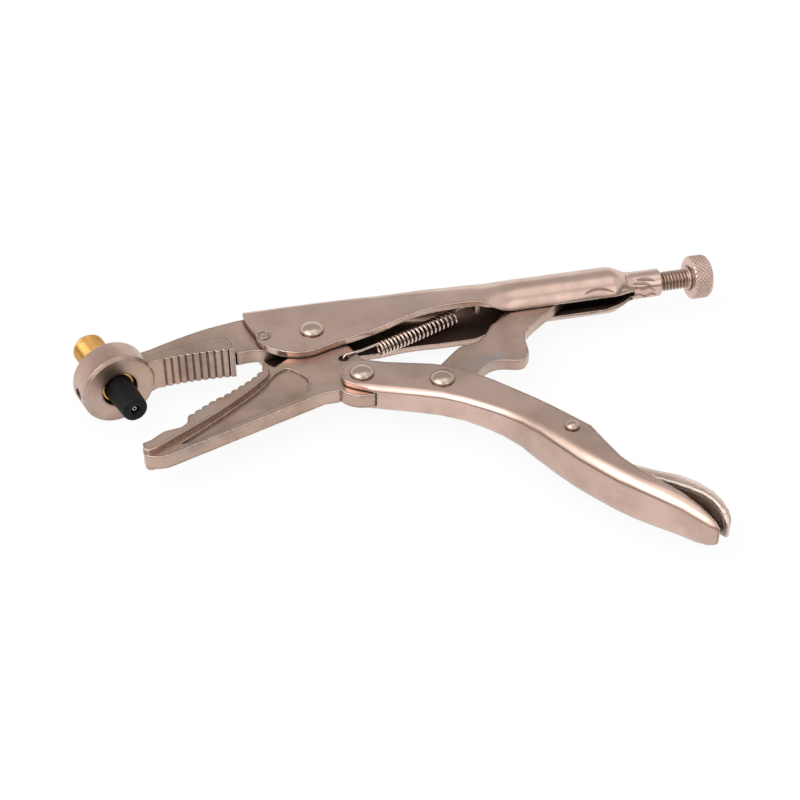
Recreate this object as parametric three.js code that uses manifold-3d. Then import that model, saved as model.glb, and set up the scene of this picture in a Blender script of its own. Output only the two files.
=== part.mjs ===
// Locking pliers that clamp round a refrigerant pipe and pierce it, lying flat on their side.
// Millimetres. X runs along the adjusting screw towards the knob, Y across the handles, Z is the thickness.
// The plan origin while modelling is the main rivet's axis; the finished group is moved so that its own
// origin is below the middle of the tool, on the surface that it lies on.
import * as THREE from "three";
import { mergeVertices } from "three/addons/utils/BufferGeometryUtils.js";
import Module from "manifold-3d";

const wasm = await Module();
wasm.setup();

// Sheet, plate and running clearances
const sheet = 2.2; // folded steel of both handles
const jawPlate = 5; // forged jaws where the handle walls hold them
const sideGap = 0.3; // between faces that lie side by side
const runningGap = 0.1; // round a rivet or a screw that turns
const overrun = 2; // how far a cut reaches past what it cuts
const gripHalf = jawPlate / 2 + sideGap + sheet; // outside of the handle walls over the jaws

// Reach from the main rivet, to which every outline and pivot in plan is tied
const handleReach = 126; // to the mouth of the screw tube
const jawReach = 0.492 * handleReach; // to the tip of the moving jaw

// Rivets: places in plan, measured from the main rivet
const jawRivetX = 0.0913 * handleReach;
const jawRivetY = -0.2111 * handleReach;
const linkRivetX = 0.2865 * handleReach;
const linkRivetY = -0.2817 * handleReach;
const leverRivetX = 0.5405 * handleReach;
const leverRivetY = -0.5675 * handleReach;
const rivetShank = 2.8;
const rivetHead = 4;
const rivetHeadRise = 1.1;
const rivetRimRise = 0.55;
const rivetDish = 0.35;
const smallShank = 1.5;
const smallHead = 2.3;
const smallHeadRise = 1.6;
const smallRimRise = 0.5;

// Upper handle
const screwAxisY = 0.054 * handleReach;
const handleAxisY = 0.05 * handleReach; // middle of the rolled rear part
const frontWebY = 0.1341 * handleReach; // outside of the folded back over the jaws
const waistWebY = 0.1032 * handleReach;
const bellyLowY = -0.0143 * handleReach; // lower edge of the walls where they start to roll in
const frontCorner = 2.7;
const flareHalf = 9.2; // half width where the handle is widest
const rolledHalf = 8.15; // half width of the rolled rear part
const tubeHalf = 4.9; // outside radius of the screw tube
const tubeWall = 1.3;
const slotHalf = 2.5; // half width of the slot under the rolled part
const dimpleRadius = 2.2;
const dimpleDepth = 0.7;
const dimpleX = -0.129 * handleReach;
const dimpleY = 0.005 * handleReach;
const tabWidth = 3.6; // tab pressed in from the back, which holds the spring
const tabThick = 1.5;
const tabX = 0.468 * handleReach;
const tabLowY = 0.0413 * handleReach;

// Jaws
const hubRadius = 0.0714 * handleReach;
const lobeRadius = 0.0698 * handleReach; // moving jaw round the lower handle's rivet, in front of its back
const lobeInner = 0.0548 * handleReach; // and where the handle's back swings past it
const railHalf = 4.2; // half thickness of the toothed rail
const jawWebHalf = 1.7; // half thickness of the sunk panel
const armHalf = 2.9; // half thickness of the fixed jaw's arm beside the ring
const padHalf = 5.7; // half thickness of the tooth pad
const toothPitch = 2.35;
const toothDepth = 0.8;
const jawToothPitch = 2.9;
const hookHoleX = 0.062 * handleReach;
const hookHoleY = -0.1143 * handleReach;
const hookHoleRadius = 1.7;

// Ring, fitting and gasket: one axis in plan
const ringFaceX = -1.058 * jawReach; // middle of the ring face that the gasket leaves
const ringFaceY = -0.1806 * jawReach;
const ringAngle = THREE.MathUtils.degToRad(-71.7); // direction in which the gasket points
const ringRadius = 12.5;
const ringLength = 10;
const ringRound = 0.9;
const ringBore = 6.1;
const fitGap = 0.15; // round the fitting in its ring
const fittingReach = 18.5; // fitting beyond the ring's far face
const threadRadius = 5.5;
const flareNose = 3.6;
const fittingSink = 1.4; // the fitting's face below the ring's face
const fittingBore = 2.3;
const gasketReach = 12.4;
const gasketBase = 4.7;
const gasketEnd = 4.25;
const gasketRound = 0.6;
const gasketSeat = 4;
const gasketHole = 1.55;
const needleRadius = 1.25;
const needleBore = 0.5;
const needleShort = 1.1; // the point below the gasket's face
const needleRoot = 6;
const needleCone = 2.6;
const setScrewRadius = 1.9;
const setScrewSink = 0.6;
const setScrewSocket = 0.95;
const setScrewSocketDepth = 1.8;

// Lower handle, link and release lever
const gripWide = 8.3; // half width of the grip
const gripWebX = 0.1143 * handleReach; // where the back of the lower handle begins
const linkEye = 0.0421 * handleReach;
const linkHalf = 2.1;
const linkNoseX = 0.73 * handleReach; // where the link's end bears towards the screw
const linkNoseRadius = 0.0302 * handleReach;
const leverSheet = 1.6;
const leverHalf = gripWide - sheet - 2 * sideGap;

// Adjusting screw, knob and spring
const linkageGap = 2.4; // open end of the linkage: link nose to screw tip
const screwRadius = 3.35;
const screwTip = linkNoseX + linkageGap;
const screwPoint = 0.8;
const screwOut = 11; // bare screw between the tube's mouth and the knob
const knobX = handleReach + screwOut;
const knobWidth = 6.8;
const knobRadius = 7.8;
const knobBevel = 0.9;
const knobSocket = 0.6; // wall of metal between the screw's end and the knob's outer face
const knobGap = 0.25; // round the screw's end in the knob
const knobFlutes = 36;
const knobFluteDepth = 0.3;
const collarRadius = 4.6;
const collarLength = 0.8;
const springWire = 0.8;
const springMean = 2.35;
const springCurls = 20;
const springStart = 0.258; // first curl, as a share of the way from the hook hole to the tab
const springEnd = 0.84;

// Facets
const roundSides = 36;
const smallSides = 20;
const rivetSides = 24;
const ringSides = 48;

// Turns a geometry into a solid that can be cut and joined.
function solid(geometry) {
  const bare = new THREE.BufferGeometry().setAttribute("position", geometry.getAttribute("position"));
  if (geometry.index) bare.setIndex(geometry.index);
  const merged = mergeVertices(bare, 1e-4);
  const vertProperties = new Float32Array(merged.getAttribute("position").array);
  const triVerts = new Uint32Array(merged.index.array);
  const made = new wasm.Manifold(new wasm.Mesh({ numProp: 3, vertProperties, triVerts }));
  if (made.volume() > 0) return made;
  for (let i = 0; i < triVerts.length; i += 3) {
    const first = triVerts[i];
    triVerts[i] = triVerts[i + 1];
    triVerts[i + 1] = first;
  }
  return new wasm.Manifold(new wasm.Mesh({ numProp: 3, vertProperties, triVerts }));
}

// Turns a solid back into a geometry.
function geometryOf(made) {
  const mesh = made.getMesh();
  const geometry = new THREE.BufferGeometry();
  geometry.setAttribute("position", new THREE.BufferAttribute(new Float32Array(mesh.vertProperties), 3));
  geometry.setIndex(new THREE.BufferAttribute(new Uint32Array(mesh.triVerts), 1));
  geometry.computeVertexNormals();
  return geometry;
}

function unite(pieces) {
  return pieces.reduce((all, piece) => all.add(piece));
}

function cut(body, tools) {
  return tools.reduce((left, tool) => left.subtract(tool), body);
}

// A shape from runs of points: a run of one point is a straight edge, a longer run is a curve through them.
function outline(size, runs) {
  const shape = new THREE.Shape();
  runs.forEach((run, i) => {
    const points = run.map(([x, y]) => new THREE.Vector2(x * size, y * size));
    if (i === 0) shape.moveTo(points[0].x, points[0].y);
    else if (points.length === 1) shape.lineTo(points[0].x, points[0].y);
    if (points.length > 1) shape.splineThru(i === 0 ? points.slice(1) : points);
  });
  return shape;
}

// A plate of a plan shape, centred on the middle plane of the tool.
function plate(shape, half, soften = 0, curveSegments = 5) {
  const geometry = new THREE.ExtrudeGeometry(shape, {
    depth: 2 * (half - soften),
    curveSegments,
    bevelEnabled: soften > 0,
    bevelThickness: soften,
    bevelSize: soften,
    bevelOffset: -soften,
    bevelSegments: 1,
  });
  geometry.translate(0, 0, soften - half);
  return solid(geometry);
}

function disc(radius, half, x, y, sides = roundSides) {
  const geometry = new THREE.CylinderGeometry(radius, radius, 2 * half, sides);
  geometry.rotateX(Math.PI / 2);
  geometry.translate(x, y, 0);
  return solid(geometry);
}

// A turned piece: profile of [radius, distance along the axis], with the axis laid along a direction in plan.
function turned(profile, x, y, angle, sides = roundSides) {
  const points = profile.map(([r, along]) => new THREE.Vector2(r, along));
  const geometry = new THREE.LatheGeometry(points, sides);
  geometry.rotateZ(angle - Math.PI / 2);
  geometry.translate(x, y, 0);
  return solid(geometry);
}

// Values between key places, without overshoot: keys are [place, value].
function smoothValue(keys, place) {
  let i = 0;
  while (i < keys.length - 2 && place > keys[i + 1][0]) i += 1;
  const slope = (k) => (keys[k + 1][1] - keys[k][1]) / (keys[k + 1][0] - keys[k][0]);
  const tangent = (k) => {
    if (k === 0) return slope(0);
    if (k === keys.length - 1) return slope(k - 1);
    const before = slope(k - 1);
    const after = slope(k);
    return before * after <= 0 ? 0 : (2 * before * after) / (before + after);
  };
  const span = keys[i + 1][0] - keys[i][0];
  const t = THREE.MathUtils.clamp((place - keys[i][0]) / span, 0, 1);
  const start = keys[i][1] * (2 * t ** 3 - 3 * t ** 2 + 1) + tangent(i) * span * (t ** 3 - 2 * t ** 2 + t);
  const end = keys[i + 1][1] * (3 * t ** 2 - 2 * t ** 3) + tangent(i + 1) * span * (t ** 3 - t ** 2);
  return start + end;
}

// Half of a folded section, from its lip to the middle of its back. The back's outside is at 0 and
// the walls reach down to -depth. A curl of 1 rolls the section into a tube with a slot.
const wallSteps = 5;
const cornerSteps = 4;
const backSteps = 1;
function foldHalf(half, back, depth, corner, rise, curl, slot) {
  const points = [];
  const steps = wallSteps + cornerSteps + backSteps;
  const slotAngle = Math.asin(Math.min(slot / half, 1));
  for (let i = 0; i <= steps; i += 1) {
    const openY = back - rise;
    let folded;
    if (i <= wallSteps) {
      folded = [THREE.MathUtils.lerp(-depth, openY, i / wallSteps), half];
    } else if (i <= wallSteps + cornerSteps) {
      const turn = ((i - wallSteps) / cornerSteps) * (Math.PI / 2);
      folded = [openY + rise * Math.sin(turn), half - corner + corner * Math.cos(turn)];
    } else {
      folded = [back, (half - corner) * (1 - (i - wallSteps - cornerSteps) / backSteps)];
    }
    const lower = THREE.MathUtils.lerp(slotAngle, Math.PI / 2, i / wallSteps);
    const upper = (Math.PI / 2) * (1 + (i - wallSteps) / (cornerSteps + backSteps));
    const turn = i <= wallSteps ? lower : upper;
    const rolled = [back - half - half * Math.cos(turn), i === steps ? 0 : half * Math.sin(turn)];
    points.push([
      THREE.MathUtils.lerp(folded[0], rolled[0], curl),
      THREE.MathUtils.lerp(folded[1], rolled[1], curl),
    ]);
  }
  return points;
}

// The closed ring of a folded section: outside from lip to lip, then the inside back.
function foldRing({ half, depth, corner, wall, curl = 0, slot = 0 }) {
  const rise = Math.min(corner, 0.9 * depth);
  const inside = (size) => Math.max(size - wall, wall / 4);
  const outer = foldHalf(half, 0, depth, corner, rise, curl, slot);
  const inner = foldHalf(half - wall, -wall, depth, inside(corner), inside(rise), curl, slot);
  const mirrored = (points) => points.map(([y, z]) => [y, -z]).reverse().slice(1);
  const across = [...outer, ...mirrored(outer)];
  const back = [...inner, ...mirrored(inner)].reverse();
  return [...across, ...back];
}

// Joins rings of equal counts into one closed solid. The ends are the first and the last ring in their plane.
function loft(rings, ends) {
  const count = rings[0].length;
  const positions = rings.flat().flatMap((point) => [point.x, point.y, point.z]);
  const faces = [];
  for (let r = 0; r < rings.length - 1; r += 1) {
    for (let i = 0; i < count; i += 1) {
      const a = r * count + i;
      const b = r * count + ((i + 1) % count);
      faces.push(a, b, b + count, a, b + count, a + count);
    }
  }
  const flat = (ring) => ring.map(([y, z]) => new THREE.Vector2(y, z));
  const cap = (ring) => THREE.ShapeUtils.triangulateShape(flat(ring), []);
  const last = (rings.length - 1) * count;
  const turns = (ring) => (THREE.ShapeUtils.isClockWise(flat(ring)) ? 1 : -1);
  const facing = ([a, b, c], ring, offset, flip) => {
    const [p, q, s] = [a, b, c].map((k) => ring[k]);
    const area = (q[0] - p[0]) * (s[1] - p[1]) - (q[1] - p[1]) * (s[0] - p[0]);
    const same = area < 0 === turns(ring) > 0;
    return same === flip ? [a + offset, c + offset, b + offset] : [a + offset, b + offset, c + offset];
  };
  cap(ends[0]).forEach((face) => faces.push(...facing(face, ends[0], 0, true)));
  cap(ends[1]).forEach((face) => faces.push(...facing(face, ends[1], last, false)));
  const geometry = new THREE.BufferGeometry();
  geometry.setAttribute("position", new THREE.Float32BufferAttribute(positions, 3));
  geometry.setIndex(faces);
  return solid(geometry);
}

// A folded or rolled sheet along stations, each with a place on its back and a direction into the channel.
function foldedSheet(stations) {
  const flats = stations.map(foldRing);
  const rings = stations.map((station, i) =>
    flats[i].map(([y, z]) => new THREE.Vector3(
      station.place.x - station.inward.x * y,
      station.place.y - station.inward.y * y,
      z,
    )),
  );
  return loft(rings, [flats[0], flats[flats.length - 1]]);
}

// Stations of the upper handle, as shares of its reach, with the sizes that hold there.
const handleStationShares = [-0.2, -0.04, 0.04, 0.1, 0.15, 0.2, 0.25, 0.3, 0.34, 0.38, 0.42, 0.45, 0.475,
  0.5, 0.525, 0.55, 0.58, 0.7, 0.82, 0.845, 0.86, 0.873, 0.887, 0.902, 0.918, 0.94];
const halfKeys = [[-0.2, gripHalf], [0.05, gripHalf], [0.175, 0.71 * flareHalf], [0.25, 0.85 * flareHalf],
  [0.37, flareHalf], [0.44, flareHalf], [0.56, rolledHalf], [0.845, rolledHalf], [0.915, tubeHalf],
  [1, tubeHalf]];
const backKeys = [[-0.2, frontWebY], [0.04, frontWebY], [0.25, waistWebY + 0.05 * frontWebY],
  [0.37, waistWebY], [0.44, waistWebY], [0.56, handleAxisY + rolledHalf], [0.845, handleAxisY + rolledHalf],
  [0.915, screwAxisY + tubeHalf], [1, screwAxisY + tubeHalf]];
const cornerKeys = [[-0.2, frontCorner], [0.04, frontCorner], [0.25, 0.55 * flareHalf],
  [0.4, 0.8 * flareHalf], [0.56, rolledHalf], [1, tubeHalf]];
const lowKeys = [[-0.2, -frontWebY], [0.34, -frontWebY], [0.42, bellyLowY], [0.6, bellyLowY], [1, bellyLowY]];
const curlKeys = [[-0.2, 0], [0.44, 0], [0.56, 1], [1, 1]];
const wallKeys = [[-0.2, sheet], [0.845, sheet], [0.915, tubeWall], [1, tubeWall]];
const slotKeys = [[-0.2, slotHalf], [0.845, slotHalf], [0.915, slotHalf / 3], [1, slotHalf / 3]];

// The handle's walls in plan: front edge, belly over the rivet, rising lower edge, then clear of the roll.
const handleWallShares = [
  [[-0.135, 0.15]],
  [[-0.145, 0.1345], [-0.158, 0.129], [-0.167, 0.118], [-0.169, 0.1], [-0.158, 0.05], [-0.149, 0.02],
    [-0.149, 0], [-0.143, -0.02], [-0.13, -0.042], [-0.104, -0.066], [-0.073, -0.082], [-0.04, -0.09],
    [-0.01, -0.088]],
  [[0.06, -0.065], [0.12, -0.054], [0.176, -0.045], [0.24, -0.027], [0.3, -0.017], [0.36, -0.0145],
    [0.425, -0.0141]],
  [[0.44, -0.06]],
  [[1, -0.06]],
  [[1, 0.15]],
];

function upperHandle() {
  const stations = handleStationShares.map((share) => {
    const half = smoothValue(halfKeys, share);
    const back = smoothValue(backKeys, share);
    return {
      place: new THREE.Vector2(share * handleReach, back),
      inward: new THREE.Vector2(0, -1),
      half,
      depth: back - smoothValue(lowKeys, share),
      corner: Math.min(smoothValue(cornerKeys, share), half),
      wall: smoothValue(wallKeys, share),
      curl: smoothValue(curlKeys, share),
      slot: smoothValue(slotKeys, share),
    };
  });
  const walls = plate(outline(handleReach, handleWallShares), flareHalf + overrun);
  const folded = foldedSheet(stations).intersect(walls);
  const tubeStart = 0.915 * handleReach;
  const tubeLip = tubeWall / 2;
  const tube = turned([
    [0, tubeStart],
    [tubeHalf, tubeStart],
    [tubeHalf, handleReach - tubeLip],
    [tubeHalf - tubeLip, handleReach],
    [0, handleReach],
  ], 0, screwAxisY, 0);
  const bore = turned([
    [0, tubeStart - overrun],
    [tubeHalf - tubeWall, tubeStart - overrun],
    [tubeHalf - tubeWall, handleReach + overrun],
    [0, handleReach + overrun],
  ], 0, screwAxisY, 0);
  const tabTop = smoothValue(backKeys, tabX / handleReach) - sheet / 2;
  const tab = new THREE.BoxGeometry(tabThick, tabTop - tabLowY, tabWidth);
  tab.translate(tabX, (tabTop + tabLowY) / 2, 0);
  const dimple = new THREE.SphereGeometry(dimpleRadius, smallSides, smallSides / 2);
  dimple.scale(1, 1, dimpleDepth / dimpleRadius);
  dimple.translate(dimpleX, dimpleY, gripHalf);
  return cut(unite([folded, tube, solid(tab)]), [
    bore,
    disc(rivetShank + runningGap, flareHalf, 0, 0),
    solid(dimple),
  ]);
}

// Fixed jaw: arm, tooth block and tang in shares of the jaw's reach.
const fixedArmShares = [
  [[-1.03, -0.2]],
  [[-1, 0.01], [-0.93, 0.05], [-0.87, 0.07], [-0.76, 0.116], [-0.64, 0.163], [-0.52, 0.2], [-0.345, 0.236]],
  [[-0.05, 0.232]],
  [[0.15, 0.232]],
  [[0.15, 0.19]],
  [[0, 0.2]],
  [[-0.2, 0.1]],
  [[-0.2, -0.045]],
  [[-0.29, -0.065]],
  [[-0.33, -0.056], [-0.37, -0.056], [-0.42, -0.062]],
  [[-0.45, -0.03]],
  [[-0.85, -0.05]],
  [[-0.9, -0.11]],
  [[-0.96, -0.15]],
];
const toothPadShares = [
  [[-1, -0.1]],
  [[-0.96, -0.045], [-0.9, -0.03], [-0.82, -0.012], [-0.71, 0.015], [-0.6, 0.036], [-0.52, 0.042],
    [-0.46, 0.025], [-0.437, -0.03]],
  [[-0.434, -0.09]],
  [[-0.462, -0.088]],
];
const toothLineShares = [[-0.462, -0.078], [-0.55, -0.072], [-0.64, -0.07], [-0.74, -0.073],
  [-0.845, -0.084]];
const toothPadEndShares = [[-0.86, -0.095], [-0.935, -0.14], [-0.96, -0.16]];

// Points of a row of teeth along a curve: broad lands with a narrow groove before each. A depth below 0
// puts the teeth on the curve's other side.
const toothForm = [[0.06, 0], [0.28, 0.8], [0.58, 1], [0.86, 0.7]];
function toothRow(line, pitch, depth) {
  const count = Math.max(2, Math.round(line.getLength() / pitch));
  const points = [];
  for (let i = 0; i < count; i += 1) {
    toothForm.forEach(([share, lift]) => {
      const u = (i + share) / count;
      const place = line.getPointAt(u);
      const along = line.getTangentAt(u);
      points.push(new THREE.Vector2(place.x - along.y * depth * lift, place.y + along.x * depth * lift));
    });
  }
  return points;
}

function curveThrough(size, shares) {
  return new THREE.SplineCurve(shares.map(([x, y]) => new THREE.Vector2(x * size, y * size)));
}

function ringBody() {
  const profile = [
    [0, -ringLength],
    [ringRadius - ringRound, -ringLength],
    [ringRadius - 0.3 * ringRound, 0.3 * ringRound - ringLength],
    [ringRadius, ringRound - ringLength],
    [ringRadius, -ringRound],
    [ringRadius - ringRound, 0],
    [0, 0],
  ];
  return turned(profile, ringFaceX, ringFaceY, ringAngle, ringSides);
}

// A place on the ring's axis, measured from the gasket side face, towards the gasket.
function onRingAxis(along) {
  return new THREE.Vector2(
    ringFaceX + along * Math.cos(ringAngle),
    ringFaceY + along * Math.sin(ringAngle),
  );
}

// The set screw comes in from the side of the ring away from the jaw.
function setScrewSolid(radius, from, to) {
  const middle = onRingAxis(-ringLength / 2);
  const geometry = new THREE.CylinderGeometry(radius, radius, to - from, smallSides);
  geometry.translate(0, -(from + to) / 2, 0);
  geometry.rotateZ(ringAngle);
  geometry.translate(middle.x, middle.y, 0);
  return solid(geometry);
}

// A prism across the plate whose thickness follows keys of [place, half thickness] along X.
function taperedSlab(keys, reach) {
  const shape = new THREE.Shape();
  shape.moveTo(keys[0][0], -keys[0][1]);
  keys.slice(1).forEach(([x, half]) => shape.lineTo(x, -half));
  [...keys].reverse().forEach(([x, half]) => shape.lineTo(x, half));
  const slab = new THREE.ExtrudeGeometry(shape, { depth: 2 * reach, bevelEnabled: false });
  slab.rotateX(Math.PI / 2);
  slab.translate(0, reach, 0);
  return solid(slab);
}

function fixedJaw() {
  const half = padHalf;
  const taper = [
    [-1.3 * jawReach, armHalf],
    [-0.8 * jawReach, armHalf],
    [-0.45 * jawReach, jawPlate / 2],
    [jawReach, jawPlate / 2],
  ];
  const headroom = new THREE.BoxGeometry(4 * jawReach, 2 * jawReach, 2 * half);
  headroom.translate(0, frontWebY - sheet - sideGap - jawReach, 0);
  const arm = plate(outline(jawReach, fixedArmShares), half)
    .intersect(taperedSlab(taper, jawReach))
    .intersect(solid(headroom));
  const padShape = outline(jawReach, toothPadShares);
  toothRow(curveThrough(jawReach, toothLineShares), toothPitch, toothDepth)
    .forEach((point) => padShape.lineTo(point.x, point.y));
  toothPadEndShares.forEach(([x, y]) => padShape.lineTo(x * jawReach, y * jawReach));
  const pad = plate(padShape, half);
  const bore = turned([
    [0, -ringLength - overrun],
    [ringBore, -ringLength - overrun],
    [ringBore, overrun],
    [0, overrun],
  ], ringFaceX, ringFaceY, ringAngle);
  const armStop = new THREE.BoxGeometry(4 * jawReach, 4 * jawReach, 4 * half);
  armStop.translate((ringBore + ringRadius) / 2 - 2 * jawReach, 0, 0);
  armStop.rotateZ(ringAngle + Math.PI / 2);
  armStop.translate(ringFaceX, ringFaceY, 0);
  const body = unite([arm.add(pad).subtract(solid(armStop)), ringBody()]);
  return cut(body, [
    bore,
    disc(hubRadius + sideGap, half, 0, 0),
    setScrewSolid(setScrewRadius + fitGap, 0, ringRadius + overrun),
  ]);
}

// Moving jaw outlines in shares of its reach.
const jawBodyShares = [
  [[-0.992, -0.72]],
  [[-0.995, -0.75], [-0.985, -0.782], [-0.95, -0.803], [-0.9, -0.81], [-0.86, -0.803]],
  [[-0.03, -0.498]],
  [[0.02, -0.497], [0.05, -0.495], [0.075, -0.48]],
  [[0.24, -0.43]],
  [[0.29, -0.39], [0.27, -0.33], [0.225, -0.27]],
  [[0.2, -0.205]],
  [[0.14, -0.05]],
  [[-0.14, -0.06]],
  [[-0.158, -0.165]],
  [[-0.244, -0.227]],
  [[-0.3, -0.178]],
  [[-0.318, -0.285]],
  [[-0.43, -0.392], [-0.58, -0.468], [-0.7, -0.55], [-0.747, -0.585]],
  [[-0.77, -0.635], [-0.82, -0.65], [-0.88, -0.656]],
  [[-0.93, -0.69]],
  [[-0.965, -0.708]],
];
const railShares = [
  [[-0.992, -0.72]],
  [[-0.99, -0.755], [-0.965, -0.777], [-0.925, -0.765]],
  [[-0.82, -0.7], [-0.6, -0.565], [-0.42, -0.43], [-0.33, -0.35], [-0.29, -0.3], [-0.287, -0.22]],
  [[-0.3, -0.178]],
  [[-0.316, -0.26]],
];
const jawToothShares = [[-0.318, -0.282], [-0.36, -0.327], [-0.44, -0.384], [-0.53, -0.441], [-0.6, -0.475],
  [-0.7, -0.542], [-0.747, -0.575]];
const jawSeatShares = [
  [-0.755, -0.61], [-0.785, -0.637], [-0.83, -0.646], [-0.873, -0.652], [-0.91, -0.676], [-0.95, -0.706],
];
const panelShares = [
  [[-0.81, -0.735]],
  [[-0.6, -0.59], [-0.42, -0.455], [-0.33, -0.375], [-0.26, -0.29]],
  [[-0.19, -0.25], [-0.13, -0.3], [-0.09, -0.37], [-0.1, -0.45]],
  [[-0.18, -0.503]],
  [[-0.75, -0.735]],
];

function movingJaw() {
  const half = jawPlate / 2;
  const body = plate(outline(jawReach, jawBodyShares), half);
  const hub = disc(hubRadius, half, 0, 0);
  const lobeFront = new THREE.BoxGeometry(2 * lobeRadius, 4 * lobeRadius, 2 * half);
  lobeFront.translate(gripWebX - sideGap - lobeRadius, jawRivetY, 0);
  const lobe = disc(lobeRadius, half, jawRivetX, jawRivetY).intersect(solid(lobeFront))
    .add(disc(lobeInner, half, jawRivetX, jawRivetY));
  const railShape = outline(jawReach, railShares);
  toothRow(curveThrough(jawReach, jawToothShares), jawToothPitch, -toothDepth)
    .forEach((point) => railShape.lineTo(point.x, point.y));
  jawSeatShares.forEach(([x, y]) => railShape.lineTo(x * jawReach, y * jawReach));
  const rail = plate(railShape, railHalf);
  const panel = outline(jawReach, panelShares);
  const pocket = new THREE.ExtrudeGeometry(panel, { depth: half, bevelEnabled: false, curveSegments: 5 });
  const upperPocket = solid(pocket.clone().translate(0, 0, jawWebHalf));
  const lowerPocket = solid(pocket.clone().translate(0, 0, -jawWebHalf - half));
  const cleared = cut(unite([body, hub, lobe]), [upperPocket, lowerPocket]);
  return cut(cleared.add(rail), [
    disc(rivetShank + runningGap, half + overrun, 0, 0),
    disc(rivetShank + runningGap, half + overrun, jawRivetX, jawRivetY),
    disc(hookHoleRadius, half + overrun, hookHoleX, hookHoleY, smallSides),
  ]);
}

// Lower handle: places on its back and on its open edges, in shares of the handle's reach. Its width goes
// from 0 over the jaws to 1 at the grip, and so does the round of its corners, where none is given.
const gripStations = [
  { back: [0, -0.235], edge: [0.045, -0.13], wide: 0 },
  { back: [0.115, -0.281], edge: [0.155, -0.172], wide: 0 },
  { back: [0.218, -0.322], edge: [0.25, -0.203], wide: 0 },
  { back: [0.27, -0.346], edge: [0.31, -0.23], wide: 0 },
  { back: [0.32, -0.378], edge: [0.37, -0.275], wide: 0.02 },
  { back: [0.36, -0.413], edge: [0.41, -0.315], wide: 0.07 },
  { back: [0.4, -0.455], edge: [0.45, -0.365], wide: 0.2 },
  { back: [0.433, -0.5], edge: [0.487, -0.42], wide: 0.5 },
  { back: [0.46, -0.552], edge: [0.517, -0.475], wide: 0.9 },
  { back: [0.49, -0.612], edge: [0.555, -0.53], wide: 0.97 },
  { back: [0.523, -0.67], edge: [0.586, -0.575], wide: 1 },
  { back: [0.557, -0.72], edge: [0.602, -0.638], wide: 1 },
  { back: [0.592, -0.768], edge: [0.62, -0.7], wide: 0.98 },
  { back: [0.628, -0.81], edge: [0.647, -0.752], wide: 0.96 },
  { back: [0.666, -0.849], edge: [0.684, -0.8], wide: 0.87 },
  { back: [0.704, -0.888], edge: [0.721, -0.848], wide: 0.68 },
  { back: [0.733, -0.924], edge: [0.747, -0.895], wide: 0.45, round: 0.6 },
  { back: [0.754, -0.945], edge: [0.763, -0.924], wide: 0.12, round: 0.5 },
  { back: [0.767, -0.953], edge: [0.772, -0.939], wide: -0.2, round: 0.3 },
  { back: [0.775, -0.957], edge: [0.777, -0.949], wide: -0.6, round: 0 },
];
const gripWallShares = [
  [[0.099, -0.271]],
  [[0.076, -0.257], [0.053, -0.241], [0.04, -0.225], [0.042, -0.19], [0.055, -0.169], [0.085, -0.156],
    [0.12, -0.163]],
  [[0.16, -0.18]],
  [[0.3, -0.222]],
  [[0.5, -0.3]],
  [[0.9, -0.7]],
  [[0.9, -1]],
  [[0.5, -1]],
  [[0.114, -0.4]],
  [[0.114, -0.281]],
];

function stationAt({ back, edge }, half, corner, wall) {
  const place = new THREE.Vector2(back[0], back[1]).multiplyScalar(handleReach);
  const lip = new THREE.Vector2(edge[0], edge[1]).multiplyScalar(handleReach);
  const inward = lip.clone().sub(place).normalize();
  return { place, inward, half, depth: place.distanceTo(lip), corner, wall };
}

function lowerHandle() {
  const stations = gripStations.map((station) => {
    const half = THREE.MathUtils.lerp(gripHalf, gripWide, station.wide);
    const corner = THREE.MathUtils.lerp(frontCorner, 0.66 * gripWide, station.round ?? station.wide);
    return stationAt(station, half, corner, sheet);
  });
  const walls = plate(outline(handleReach, gripWallShares), gripWide + overrun);
  const mouth = new THREE.BoxGeometry(gripWebX, handleReach, 2 * (gripHalf - sheet));
  mouth.translate(gripWebX / 2, jawRivetY, 0);
  return cut(foldedSheet(stations).intersect(walls), [
    solid(mouth),
    disc(rivetShank + runningGap, gripWide + overrun, jawRivetX, jawRivetY),
    disc(rivetShank + runningGap, gripWide + overrun, linkRivetX, linkRivetY),
    disc(smallShank + runningGap, gripWide + overrun, leverRivetX, leverRivetY, smallSides),
  ]);
}

// Release lever: nose and ears inside the grip, then an arched tail that stands over it. Its width is
// given as a share of its half width.
const leverStations = [
  { back: [0.485, -0.48], edge: [0.49, -0.5], share: 0.68 },
  { back: [0.51, -0.505], edge: [0.488, -0.527], share: 0.72 },
  { back: [0.545, -0.535], edge: [0.508, -0.565], share: 0.88 },
  { back: [0.58, -0.575], edge: [0.532, -0.605], share: 1 },
  { back: [0.603, -0.63], edge: [0.56, -0.65], share: 1 },
  { back: [0.628, -0.672], edge: [0.59, -0.698], share: 1 },
  { back: [0.668, -0.706], edge: [0.631, -0.733], share: 1 },
  { back: [0.712, -0.736], edge: [0.679, -0.767], share: 1 },
  { back: [0.753, -0.761], edge: [0.719, -0.799], share: 1.06 },
  { back: [0.787, -0.795], edge: [0.747, -0.826], share: 1.12 },
  { back: [0.81, -0.835], edge: [0.771, -0.852], share: 1.13 },
  { back: [0.82, -0.872], edge: [0.786, -0.876], share: 1.08 },
  { back: [0.821, -0.902], edge: [0.793, -0.894], share: 0.98 },
  { back: [0.816, -0.924], edge: [0.797, -0.907], share: 0.82 },
  { back: [0.808, -0.938], edge: [0.797, -0.922], share: 0.6 },
  { back: [0.802, -0.943], edge: [0.797, -0.932], share: 0.38 },
];

function releaseLever() {
  const stations = leverStations.map((station) => {
    const half = leverHalf * station.share;
    return stationAt(station, half, Math.min(0.6 * leverHalf * station.share ** 2, half), leverSheet);
  });
  return cut(foldedSheet(stations), [
    disc(smallShank + runningGap, gripWide + overrun, leverRivetX, leverRivetY, smallSides),
  ]);
}

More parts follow.
